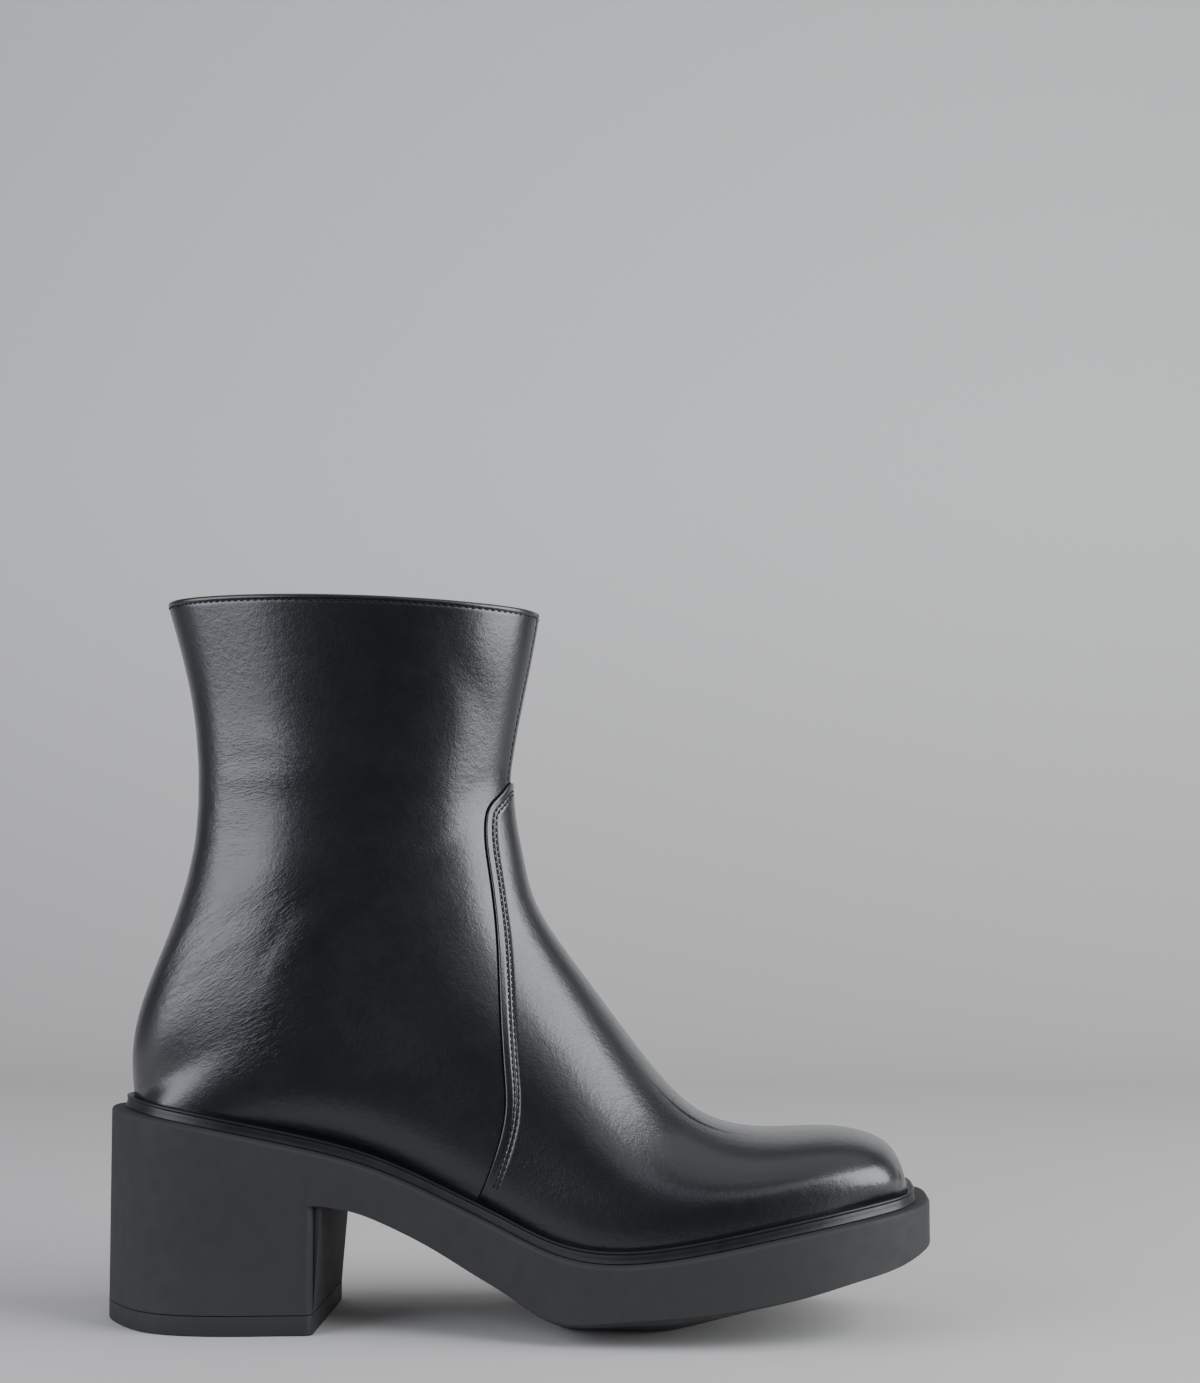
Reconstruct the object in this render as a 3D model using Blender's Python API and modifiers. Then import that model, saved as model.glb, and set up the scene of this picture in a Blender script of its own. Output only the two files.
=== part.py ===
# Zip ankle boot, right foot: leather upper on a moulded block-heel sole unit.
# Frame: X runs from heel to toe, Y to the inner (medial) side, Z up. The floor is z = 0
# and the origin is under the middle of the boot's box. Tables are in millimetres.
import math

import bmesh
import bpy
import numpy as np
from mathutils import Matrix, Vector

MM = 0.001

# Fits and walls
FIT_GAP = 0.3 * MM
UPPER_WALL = 2.0 * MM
RAND_WALL = 2.1 * MM
RAND_HEIGHT = 4.0 * MM
INSOLE_THICK = 3.0 * MM
INSOLE_EDGE_ROUND = 0.8 * MM
LEDGE = 4.5 * MM
SOLE_RIM = 1.2 * MM
RIM_SHARE = 0.3
SKIRT_REACH = 0.5 * MM

# Insets from the sole's edge, from the outside in
RAND_OUTER = LEDGE
RAND_INNER = RAND_OUTER + RAND_WALL
UPPER_OUTER = RAND_INNER + FIT_GAP
INSOLE_CLEAR = 0.8 * MM
INSOLE_EDGE = UPPER_OUTER + UPPER_WALL + FIT_GAP + INSOLE_CLEAR

# Rand's section: shares of its height and of its wall where its top turns over
RAND_SIDE_SHARE = 0.62
RAND_SHOULDER = (0.16, 0.85)
RAND_CROWN = (0.45, 0.95)

# Sole and heel
TOE_X = 128.5 * MM
REAR_X = -128.0 * MM
BREAST_BOTTOM_X = -59.0 * MM
BREAST_TOP_X = -56.5 * MM
TOP_PIECE_THICK = 6.0 * MM
TOP_PIECE_EDGE = 0.6 * MM

# Samples: round the sole's edge, along a column to find the seam, over the shaft's side
OUTLINE_POINTS = 1440
SEAM_SAMPLES = 400
FACE_SAMPLES = 240

# Vamp seam: the vamp's edge stands over the quarters by this much in all
SEAM_STEP = 0.9 * MM
SEAM_FADE = 9.0 * MM
SEAM_FACE = 0.35 * MM
SEAM_SINK = 3.0 * MM
COLLAR_RISE = 1.5 * MM
COLLAR_ROWS = 1.5

# Moves every piece so that the middle of the boot's box stands on the origin
CENTRE = Vector((-0.25, 1.2, 0.0)) * MM

# Zip on the inner side, closed, with its slider below the collar
ZIP_X = -48.0 * MM
ZIP_SLOT = 8.0 * MM
ZIP_BOTTOM_Z = 66.0 * MM
TAPE_TOP_Z = 220.0 * MM
TAPE_DEPTH = 0.5 * MM
TAPE_THICK = 1.2 * MM
CUT_NEAR_Y = 8.0 * MM
CUT_FAR_Y = 60.0 * MM
CUT_TOP_Z = 260.0 * MM
SLIDER_Z = 210.0 * MM
SLIDER_WIDTH = 9.0 * MM
SLIDER_LENGTH = 11.0 * MM
SLIDER_PLATE = 1.4 * MM
SLIDER_CORNER = 2.2 * MM
WEB_SIDE_INSET = 1.3 * MM
WEB_END_INSET = 0.8 * MM
JOIN_DEPTH = 0.5 * MM
CROWN_WIDTH = 1.6 * MM
CROWN_BAR = 1.0 * MM
CROWN_CLEAR = 2.0 * MM
CROWN_HALF_LENGTH = 3.6 * MM
CROWN_LEG = 1.2 * MM
CROWN_CHAMFER = 0.9 * MM
PULL_THICK = 1.2 * MM
PULL_WINDOW = 4.0 * MM
PULL_WINDOW_WIDTH = 3.2 * MM
PULL_LENGTH = 25.0 * MM
PULL_TOP_WIDTH = 5.8 * MM
PULL_END_WIDTH = 7.6 * MM
PULL_END_CORNER = 2.4 * MM
WINDOW_CORNER = 0.6 * MM
GRIP_WIDTH = 3.4 * MM
GRIP_TOP = -15.5 * MM
GRIP_END = -21.5 * MM
GRIP_CORNER = 1.6 * MM
CORNER_STEPS = 3

# Plan of the sole's edge: x, outer (lateral) half width, inner (medial) half width
PLAN = [
    (126.5, 18.5, 18.5),
    (121.5, 26.8, 26.3),
    (112.0, 34.6, 33.4),
    (98.0, 41.6, 39.4),
    (80.0, 46.2, 43.6),
    (58.0, 48.2, 45.8),
    (38.0, 47.4, 44.8),
    (18.0, 43.8, 40.2),
    (-5.0, 37.6, 32.6),
    (-30.0, 32.4, 28.4),
    (-56.0, 30.4, 28.8),
    (-78.0, 32.5, 31.6),
    (-96.0, 32.7, 32.3),
    (-110.0, 28.2, 28.0),
    (-121.0, 16.8, 16.7),
]

# Ledge that the rand and the upper stand on: x, height
LEDGE_LINE = [
    (-128.0, 65.6),
    (-112.0, 64.5),
    (-83.0, 59.6),
    (-60.0, 54.6),
    (-39.0, 48.8),
    (-16.0, 39.4),
    (0.0, 32.4),
    (11.0, 27.6),
    (24.0, 24.4),
    (36.0, 24.1),
    (54.0, 26.3),
    (79.0, 31.2),
    (105.0, 36.0),
    (128.5, 39.4),
]

# Under the sole, ahead of the heel: x, foot of the side wall, tread at the middle.
# The tread is flat on the floor under the ball of the foot.
UNDER_LINE = [
    (-56.5, 38.6, 37.6),
    (-47.0, 37.0, 35.6),
    (-36.0, 33.1, 31.2),
    (-22.0, 26.7, 24.0),
    (-9.0, 19.7, 15.6),
    (2.0, 14.0, 8.4),
    (11.0, 8.9, 2.4),
    (18.0, 7.1, 0.0),
    (30.0, 7.8, -0.6),
    (46.0, 9.4, -0.2),
    (60.0, 10.8, 3.0),
    (75.0, 13.0, 7.2),
    (89.0, 15.4, 12.0),
    (105.0, 19.2, 17.6),
    (118.0, 22.3, 22.3),
    (128.5, 26.6, 26.6),
]

# Round of the sole under its side wall: inset, share of the drop to the tread, and
# how much narrower than that inset the level is
UNDER_ROUND = [
    (1.2, 0.10, 1.0),
    (5.0, 0.26, 1.0),
    (12.0, 0.45, 1.0),
    (12.0, 1.0, 0.48),
]

# Sections of the last from the toe to the back of the heel. Each starts on the feather
# line, at the rand's top, and ends on the ridge of the vamp.
# start x, ridge x, ridge z, outer width, inner width, height share of the widest place,
# fullness below it, fullness above it, ridge y
FOOT_ROWS = [
    (121.6, 121.6, 42.4, 0.0, 0.0, 0.35, 2.0, 2.2, 0.0),
    (120.8, 120.5, 47.4, 10.2, 10.2, 0.34, 2.0, 2.2, 0.0),
    (117.2, 117.2, 53.6, 21.8, 21.4, 0.32, 2.0, 2.2, 0.4),
    (109.0, 109.6, 57.7, 30.2, 29.2, 0.32, 2.0, 2.2, 1.0),
    (96.0, 97.6, 59.4, 36.0, 34.0, 0.31, 2.0, 2.2, 1.8),
    (80.0, 83.0, 58.9, 40.0, 37.6, 0.29, 2.0, 2.15, 2.6),
    (60.0, 69.2, 59.7, 41.9, 39.7, 0.28, 2.0, 2.1, 3.2),
    (36.0, 54.4, 66.2, 41.4, 39.4, 0.29, 2.0, 2.0, 3.4),
    (12.0, 39.2, 82.6, 38.2, 36.6, 0.32, 2.0, 2.0, 2.8),
    (-12.0, 24.7, 101.9, 34.4, 33.2, 0.36, 2.0, 2.0, 1.8),
    (-38.0, 12.1, 119.1, 32.4, 31.6, 0.38, 2.0, 2.0, 0.8),
    (-64.0, 5.2, 131.6, 31.2, 30.8, 0.38, 2.0, 2.0, 0.2),
    (-88.0, 2.2, 143.4, 30.7, 30.5, 0.39, 2.0, 2.0, 0.0),
    (-107.0, 0.0, 154.6, 30.5, 30.3, 0.40, 2.0, 2.0, 0.0),
    (-117.5, -1.0, 162.2, 30.3, 30.1, 0.41, 2.0, 2.0, 0.0),
    (-121.1, -1.4, 167.2, 30.1, 29.9, 0.42, 2.0, 2.05, 0.0),
]

# Sections of the shaft from the heel to the collar, each starting on the back line:
# start x, start z, then the same columns
SHAFT_ROWS = [
    (-121.6, 83.0, -1.3, 171.8, 29.7, 29.5, 0.42, 2.05, 2.1, 0.0),
    (-118.3, 99.0, -0.6, 177.4, 29.2, 29.0, 0.43, 2.1, 2.15, 0.0),
    (-110.5, 119.0, 0.6, 185.0, 28.7, 28.5, 0.44, 2.15, 2.2, 0.0),
    (-103.5, 142.0, 2.3, 194.0, 28.6, 28.4, 0.45, 2.2, 2.25, 0.0),
    (-101.4, 166.0, 4.2, 203.6, 29.4, 29.2, 0.46, 2.25, 2.3, 0.0),
    (-103.9, 194.0, 5.9, 212.8, 31.2, 31.0, 0.47, 2.3, 2.3, 0.0),
    (-111.9, 224.3, 7.3, 221.1, 33.2, 33.0, 0.47, 2.3, 2.3, 0.0),
]

# Edge of the vamp over the quarters, seen from the side: height, x
SEAM_LINE = [
    (36.0, -10.6),
    (45.0, -6.3),
    (55.8, -2.3),
    (67.6, 0.2),
    (79.4, -0.3),
    (99.1, -2.0),
    (119.0, -3.6),
    (139.0, -6.4),
    (149.2, -7.9),
    (155.4, -8.0),
    (160.0, -6.6),
    (163.8, -3.5),
    (167.2, -0.8),
    (172.0, 12.0),
]

# Grid of the upper: spans along each zone and across each side
STATIONS_FORE = 27
STATIONS_HEEL = 12
VAMP_SPANS = 16
VAMP_FREE = 11
VAMP_FREE_ROW = 8.4
LOW_SPANS = 10
SHAFT_SPANS = 9
SIDE_SPANS = 16
RIDGE_CROWDING = 1.25
MIDDLE_RISE = 1.8

LEATHER_BLACK = (0.0075, 0.0078, 0.0092)
RUBBER_GREY = (0.030, 0.031, 0.032)
RAND_BLACK = (0.010, 0.010, 0.011)
LINING_TAN = (0.23, 0.18, 0.13)
TAPE_BLACK = (0.010, 0.010, 0.012)
NICKEL = (0.42, 0.42, 0.43)


def spline(knots, values, at):
    # Natural cubic spline through rows of values, at increasing knots.
    knots = np.asarray(knots, dtype=float)
    values = np.asarray(values, dtype=float)
    at = np.asarray(at, dtype=float)
    step = np.diff(knots)
    count = len(knots)
    matrix = np.eye(count)
    right = np.zeros_like(values)
    for i in range(1, count - 1):
        matrix[i, i - 1:i + 2] = step[i - 1], 2.0 * (step[i - 1] + step[i]), step[i]
        right[i] = 6.0 * ((values[i + 1] - values[i]) / step[i]
                          - (values[i] - values[i - 1]) / step[i - 1])
    bend = np.linalg.solve(matrix, right)
    span = np.clip(np.searchsorted(knots, at) - 1, 0, count - 2)
    width = step[span].reshape(at.shape + (1,) * (values.ndim - 1))
    far = (at - knots[span]).reshape(width.shape) / width
    near = 1.0 - far
    curve = (near ** 3 - near) * bend[span] + (far ** 3 - far) * bend[span + 1]
    return near * values[span] + far * values[span + 1] + curve * width ** 2 / 6.0


def table_line(table, column, at):
    # Value of one column of a table over its first column, both in metres.
    rows = np.array(table) * MM
    return spline(rows[:, 0], rows[:, column], at)


def sole_outline():
    # Closed edge of the sole from the toe along the outer side, as dense points.
    rows = np.array(PLAN) * MM
    outer = np.column_stack([rows[:, 0], -rows[:, 1]])
    inner = np.column_stack([rows[:, 0], rows[:, 2]])[::-1]
    loop = np.vstack([[[TOE_X, 0.0]], outer, [[REAR_X, 0.0]], inner])
    rounds = np.vstack([loop, loop, loop, loop[:1]])
    chord = np.linalg.norm(np.diff(rounds, axis=0), axis=1)
    knots = np.concatenate([[0.0], np.cumsum(chord)])
    around = knots[len(loop)]
    return spline(knots, rounds, np.linspace(around, 2.0 * around, OUTLINE_POINTS,
                                              endpoint=False))


OUTLINE = sole_outline()


def side_widths(inset, x):
    # Half widths at x of the outline moved inwards: outer side, inner side.
    along = np.roll(OUTLINE, -1, axis=0) - np.roll(OUTLINE, 1, axis=0)
    along /= np.linalg.norm(along, axis=1)[:, None]
    moved = OUTLINE + inset * np.column_stack([along[:, 1], -along[:, 0]])
    toe = int(np.argmax(moved[:, 0]))
    moved = np.roll(moved, -toe, axis=0)
    rear = int(np.argmin(moved[:, 0]))
    outer = moved[:rear + 1][::-1]
    inner = moved[rear:]
    lateral = -np.interp(x, outer[:, 0], outer[:, 1])
    medial = np.interp(x, inner[:, 0], inner[:, 1])
    closed = (x > TOE_X - inset - 1e-6) | (x < REAR_X + inset + 1e-6)
    return np.where(closed, 0.0, lateral), np.where(closed, 0.0, medial)


def station_x(inset):
    # Places along the sole, close together at the toe and at the back of the heel,
    # with one on each side of the heel's breast.
    turn_fore = np.linspace(0.0, math.pi / 2.0, STATIONS_FORE)
    turn_heel = np.linspace(0.0, math.pi / 2.0, STATIONS_HEEL)
    fore = BREAST_TOP_X + (TOE_X - inset - BREAST_TOP_X) * np.cos(turn_fore)
    heel = BREAST_BOTTOM_X + (REAR_X + inset - BREAST_BOTTOM_X) * np.sin(turn_heel)
    return fore, heel


def layer(inset, height, zone="all", narrow=1.0):
    # One closed level: outer side from toe to heel, then the inner side back.
    fore, heel = station_x(inset)
    x = {"all": np.concatenate([fore, heel]), "heel": heel}[zone]
    lateral, medial = side_widths(inset, x)
    z = height(x)
    outer = np.column_stack([x, -lateral * narrow, z])
    inner = np.column_stack([x, medial * narrow, z])
    return np.vstack([outer, inner[::-1]])


def stack_mesh(name, layers):
    # Closed solid through levels of equal length, capped by bars from side to side.
    count = len(layers[0])
    half = count // 2
    points = np.vstack(layers)
    faces = []
    for level in range(len(layers) - 1):
        low = level * count
        for i in range(count):
            j = (i + 1) % count
            faces.append((low + i, low + j, low + count + j, low + count + i))
    for base in (0, (len(layers) - 1) * count):
        for i in range(half - 1):
            faces.append((base + i, base + i + 1, base + count - 2 - i, base + count - 1 - i))
    return closed_mesh(name, points, faces)


def ring_mesh(name, layers):
    # Closed hoop: the levels run round its section and the last meets the first.
    count = len(layers[0])
    points = np.vstack(layers)
    faces = []
    for level in range(len(layers)):
        low = level * count
        high = (level + 1) % len(layers) * count
        for i in range(count):
            j = (i + 1) % count
            faces.append((low + i, low + j, high + j, high + i))
    return closed_mesh(name, points, faces)


def closed_mesh(name, points, faces):
    # Mesh with its doubled points merged and its faces turned outwards.
    mesh = bpy.data.meshes.new(name)
    mesh.from_pydata([tuple(p) for p in points], [], faces)
    shape = bmesh.new()
    shape.from_mesh(mesh)
    bmesh.ops.remove_doubles(shape, verts=shape.verts, dist=0.00002)
    bmesh.ops.dissolve_degenerate(shape, edges=shape.edges, dist=0.000001)
    bmesh.ops.recalc_face_normals(shape, faces=shape.faces)
    shape.to_mesh(mesh)
    shape.free()
    return mesh


def material(name, colour, roughness, metallic=0.0):
    surface = bpy.data.materials.new(name)
    surface.use_nodes = True
    shader = surface.node_tree.nodes["Principled BSDF"]
    shader.inputs["Base Color"].default_value = (*colour, 1.0)
    shader.inputs["Roughness"].default_value = roughness
    shader.inputs["Metallic"].default_value = metallic
    surface.diffuse_color = (*colour, 1.0)
    return surface


def place(name, mesh, surface, group, smooth_angle=40.0):
    mesh.transform(Matrix.Translation(CENTRE))
    thing = bpy.data.objects.new(name, mesh)
    group.objects.link(thing)
    mesh.materials.append(surface)
    mesh.shade_smooth()
    mesh.set_sharp_from_angle(angle=math.radians(smooth_angle))
    return thing


def ledge_z(x):
    return table_line(LEDGE_LINE, 1, x)


def wall_foot_z(x):
    # Foot of the sole's side wall; over the heel it is the heel's flat bottom.
    fore = table_line(UNDER_LINE, 1, np.maximum(x, BREAST_TOP_X))
    return np.where(x > BREAST_BOTTOM_X + 1e-6, fore, TOP_PIECE_THICK + FIT_GAP)


def tread_z(x):
    fore = np.maximum(table_line(UNDER_LINE, 2, np.maximum(x, BREAST_TOP_X)), 0.0)
    return np.where(x > BREAST_BOTTOM_X + 1e-6, fore, TOP_PIECE_THICK + FIT_GAP)


def build_sole_unit(surface, group):
    # Outsole, waist and block heel in one moulding, rounded under at the forefoot.
    layers = [
        layer(SOLE_RIM, ledge_z),
        layer(SOLE_RIM * RIM_SHARE, lambda x: ledge_z(x) - SOLE_RIM * RIM_SHARE),
        layer(0.0, lambda x: ledge_z(x) - SOLE_RIM),
        layer(0.0, wall_foot_z),
    ]
    for inset, drop, narrow in UNDER_ROUND:
        def level(x, drop=drop):
            return wall_foot_z(x) + (tread_z(x) - wall_foot_z(x)) * drop

        layers.append(layer(inset * MM, level, "all", narrow))
    return place("sole_unit", stack_mesh("sole_unit", layers), surface, group)


def build_top_piece(surface, group):
    # Hard-wearing piece under the heel, to the heel's own plan.
    layers = [
        layer(0.0, lambda x: np.full_like(x, TOP_PIECE_THICK), "heel"),
        layer(0.0, lambda x: np.full_like(x, TOP_PIECE_EDGE), "heel"),
        layer(TOP_PIECE_EDGE, lambda x: np.zeros_like(x), "heel"),
    ]
    return place("heel_top_piece", stack_mesh("heel_top_piece", layers), surface, group)


def build_rand(surface, group):
    # Moulded strip round the upper's foot, with a bead along its top.
    profile = [
        (RAND_INNER, FIT_GAP),
        (RAND_OUTER, FIT_GAP),
        (RAND_OUTER, RAND_HEIGHT * RAND_SIDE_SHARE),
        (RAND_OUTER + RAND_WALL * RAND_SHOULDER[0], RAND_HEIGHT * RAND_SHOULDER[1]),
        (RAND_OUTER + RAND_WALL * RAND_CROWN[0], RAND_HEIGHT * RAND_CROWN[1]),
        (RAND_INNER, RAND_HEIGHT * RAND_CROWN[1]),
    ]
    layers = []
    for inset, rise in profile:
        layers.append(layer(inset, lambda x, rise=rise: ledge_z(x) + rise))
    return place("rand", ring_mesh("rand", layers), surface, group)


def build_insole(surface, group):
    low = FIT_GAP
    high = FIT_GAP + INSOLE_THICK
    layers = [
        layer(INSOLE_EDGE + INSOLE_EDGE_ROUND, lambda x: ledge_z(x) + high),
        layer(INSOLE_EDGE, lambda x: ledge_z(x) + high - INSOLE_EDGE_ROUND),
        layer(INSOLE_EDGE, lambda x: ledge_z(x) + low),
    ]
    return place("insole", stack_mesh("insole", layers), surface, group)


# The last's rows on one scale: row 0 is the toe, HEEL_ROW the back of the heel,
# COLLAR_ROW the collar.
HEEL_ROW = len(FOOT_ROWS) - 1
COLLAR_ROW = HEEL_ROW + len(SHAFT_ROWS)
FOOT = np.array(FOOT_ROWS)
SHAFT = np.array(SHAFT_ROWS)
SHAPE = np.vstack([FOOT[:, 1:], SHAFT[:, 2:]])
SHAPE[:, [0, 1, 2, 3, 7]] *= MM


def row_start(row):
    # Place where a row begins: along the feather line, then up the back line.
    feather_x = spline(np.arange(HEEL_ROW + 1), FOOT[:, 0] * MM, np.minimum(row, HEEL_ROW))
    heel = [[FOOT[-1, 0] * MM, float(feather_z(FOOT[-1, 0] * MM))]]
    back = np.vstack([heel, SHAFT[:, :2] * MM])
    rear = spline(np.arange(len(back)) + HEEL_ROW, back, np.maximum(row, HEEL_ROW))
    low = row <= HEEL_ROW
    x = np.where(low, feather_x, rear[..., 0])
    z = np.where(low, feather_z(feather_x), rear[..., 1])
    lateral, medial = side_widths(UPPER_OUTER, feather_x)
    return x, z, np.where(low, lateral, 0.0), np.where(low, medial, 0.0)


def feather_z(x):
    return ledge_z(np.asarray(x, dtype=float)) + RAND_HEIGHT


def last_point(row, share, side):
    # Point of the upper's outside. share runs from 0 at the row's start to 1 on the
    # ridge, and side is -1 for the outer half and 1 for the inner half. Each half is
    # a superellipse round its widest place, cut off where the feather line meets it.
    shape = spline(np.arange(COLLAR_ROW + 1), SHAPE, row)
    start_x, start_z, lateral, medial = row_start(row)
    start_width = np.where(side < 0, lateral, medial)
    widest = np.where(side < 0, shape[..., 2], shape[..., 3])
    widest = np.maximum(widest, start_width * 1.002 + 1e-5)
    belly = shape[..., 4]
    low_power = 2.0 / shape[..., 5]
    high_power = 2.0 / shape[..., 6]
    first = np.arcsin(np.clip(start_width / widest, 0.0, 1.0) ** (1.0 / low_power))
    turn = first + (math.pi - first) * share
    low_cos = np.maximum(np.cos(turn), 0.0) ** low_power
    high_cos = np.maximum(-np.cos(turn), 0.0) ** high_power
    low_t = belly * (1.0 - low_cos / np.cos(first) ** low_power)
    along = np.where(turn < math.pi / 2.0, low_t, belly + (1.0 - belly) * high_cos)
    power = np.where(turn < math.pi / 2.0, low_power, high_power)
    width = widest * np.abs(np.sin(turn)) ** power
    x = start_x + (shape[..., 0] - start_x) * along
    z = start_z + (shape[..., 1] - start_z) * along
    near_top = np.clip(row - COLLAR_ROW + COLLAR_ROWS, 0.0, COLLAR_ROWS) / COLLAR_ROWS
    z = z + COLLAR_RISE * near_top ** 2 * np.sin(math.pi * along)
    y = side * width + shape[..., 7] * along ** 2
    return np.stack([x, y, z], axis=-1)


def seam_row(share, side):
    # Row at which the line of one share crosses the vamp's edge.
    row = np.linspace(HEEL_ROW * 0.4, COLLAR_ROW - 1.0, SEAM_SAMPLES)
    points = last_point(row, np.full_like(row, share), np.full_like(row, side))
    z = np.clip(points[:, 2], SEAM_LINE[0][0] * MM, SEAM_LINE[-1][0] * MM)
    ahead = points[:, 0] - table_line(SEAM_LINE, 1, z)
    first = int(np.argmax(ahead < 0.0))
    part = ahead[first - 1] / (ahead[first - 1] - ahead[first])
    return row[first - 1] + part * (row[first] - row[first - 1])


def upper_columns():
    # Lines from the toe to the collar: outer side, ridge, inner side.
    share = 1.0 - (1.0 - np.linspace(0.0, 1.0, SIDE_SPANS + 1)) ** RIDGE_CROWDING
    outer = [(s, -1.0) for s in share]
    inner = [(s, 1.0) for s in share[::-1][1:]]
    return outer + inner


def upper_grid():
    # Points of the outside of the upper, with the vamp's step built in.
    rows = []
    for share, side in upper_columns():
        edge = seam_row(share, side)
        ease = share * share * (3.0 - 2.0 * share)
        middle = HEEL_ROW + MIDDLE_RISE * ease
        vamp = np.linspace(0.0, VAMP_FREE_ROW, VAMP_FREE + 1)
        near = np.linspace(VAMP_FREE_ROW, edge, VAMP_SPANS - VAMP_FREE + 1)
        vamp = np.concatenate([vamp, near[1:]])
        low = edge + (middle - edge) * np.linspace(0.0, 1.0, LOW_SPANS + 1)
        shaft = np.linspace(middle, COLLAR_ROW, SHAFT_SPANS + 1)
        path = np.concatenate([vamp, low, shaft[1:]])
        points = last_point(path, np.full_like(path, share), np.full_like(path, side))
        points[0] = TOE_X - UPPER_OUTER, 0.0, feather_z(TOE_X - UPPER_OUTER)
        behind = points[VAMP_SPANS + 2] - points[VAMP_SPANS]
        points[VAMP_SPANS + 1] += behind * SEAM_FACE / np.linalg.norm(behind)
        rows.append(points)
    return np.array(rows).transpose(1, 0, 2)


def grid_normals(grid):
    along = np.gradient(grid, axis=0)
    across = np.gradient(grid, axis=1)
    normal = np.cross(across, along)
    length = np.linalg.norm(normal, axis=-1, keepdims=True)
    return normal / np.maximum(length, 1e-12)


def stepped_grid():
    # Raises the vamp's edge and sinks the quarters under it, both fading away.
    grid = upper_grid()
    smooth = np.delete(grid, VAMP_SPANS + 1, axis=0)
    normal = np.insert(grid_normals(smooth), VAMP_SPANS, grid_normals(smooth)[VAMP_SPANS], axis=0)
    distance = np.linalg.norm(grid - grid[VAMP_SPANS], axis=-1)
    fade = np.exp(-distance / SEAM_FADE) * SEAM_STEP / 2.0
    fade[VAMP_SPANS + 1:] *= -1.0
    away = grid[..., 2] - feather_z(grid[..., 0])
    fade *= np.clip(away / SEAM_SINK, 0.0, 1.0)
    return grid + normal * fade[..., None]


def surface_mesh(name, grid, columns=slice(None), rows=slice(None)):
    # Open sheet from the grid, its faces pointing away from the foot.
    part = grid[rows, columns]
    high, wide = part.shape[:2]
    faces = []
    for i in range(high - 1):
        for j in range(wide - 1):
            here = i * wide + j
            faces.append((here, here + 1, here + wide + 1, here + wide))
    mesh = bpy.data.meshes.new(name)
    mesh.from_pydata([tuple(p) for p in part.reshape(-1, 3)], [], faces)
    return mesh


def close_and_skirt(mesh):
    # Joins the two halves at the back and the toe, and drops the lower edge to the sole.
    shape = bmesh.new()
    shape.from_mesh(mesh)
    bmesh.ops.remove_doubles(shape, verts=shape.verts, dist=0.00005)
    bmesh.ops.dissolve_degenerate(shape, edges=shape.edges, dist=0.000001)
    bmesh.ops.triangulate(shape, faces=shape.faces, quad_method="SHORT_EDGE")
    lower = []
    for edge in shape.edges:
        if edge.is_boundary:
            rise = [v.co.z - float(feather_z(v.co.x)) for v in edge.verts]
            if max(abs(r) for r in rise) < SKIRT_REACH:
                lower.append(edge)
    grown = bmesh.ops.extrude_edge_only(shape, edges=lower)
    for item in grown["geom"]:
        if isinstance(item, bmesh.types.BMVert):
            item.co.z = float(ledge_z(np.array(item.co.x))) + FIT_GAP
    shape.to_mesh(mesh)
    shape.free()
    return mesh


def add_wall(thing, thickness):
    wall = thing.modifiers.new("wall", "SOLIDIFY")
    wall.thickness = thickness
    wall.offset = -1.0
    wall.use_even_offset = True
    return wall


def add_boolean(thing, tool, operation):
    cut = thing.modifiers.new(operation.lower(), "BOOLEAN")
    cut.operation = operation
    cut.solver = "EXACT"
    cut.object = tool
    return cut


def box_tool(name, low, high, group):
    # Box between two corners, used to cut or to join and not built itself.
    shape = bmesh.new()
    bmesh.ops.create_cube(shape, size=1.0)
    size = Vector(high) - Vector(low)
    middle = (Vector(high) + Vector(low)) / 2.0
    bmesh.ops.scale(shape, vec=size, verts=shape.verts)
    bmesh.ops.translate(shape, vec=middle, verts=shape.verts)
    mesh = bpy.data.meshes.new(name)
    shape.to_mesh(mesh)
    shape.free()
    return tool_object(name, mesh, group)


def tool_object(name, mesh, group):
    mesh.transform(Matrix.Translation(CENTRE))
    tool = bpy.data.objects.new(name, mesh)
    group.objects.link(tool)
    tool.hide_render = True
    tool.display_type = "WIRE"
    return tool


def build_upper(surface, group, tools):
    # Vamp and quarters as one hollow wall, open at the collar, underneath and along
    # the zip.
    grid = stepped_grid()
    thing = place("upper", close_and_skirt(surface_mesh("upper", grid)), surface, group, 60.0)
    add_wall(thing, UPPER_WALL)
    half = ZIP_SLOT / 2.0
    slot = box_tool("zip_slot", (ZIP_X - half, CUT_NEAR_Y, ZIP_BOTTOM_Z),
                    (ZIP_X + half, CUT_FAR_Y, CUT_TOP_Z), tools)
    add_boolean(thing, slot, "DIFFERENCE")
    return thing


def inner_patch():
    # Piece of the inner side's grid that the zip runs through.
    grid = upper_grid()
    wide = grid.shape[1]
    return grid, slice(SIDE_SPANS + 2, wide), slice(VAMP_SPANS + 2, grid.shape[0])


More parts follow.
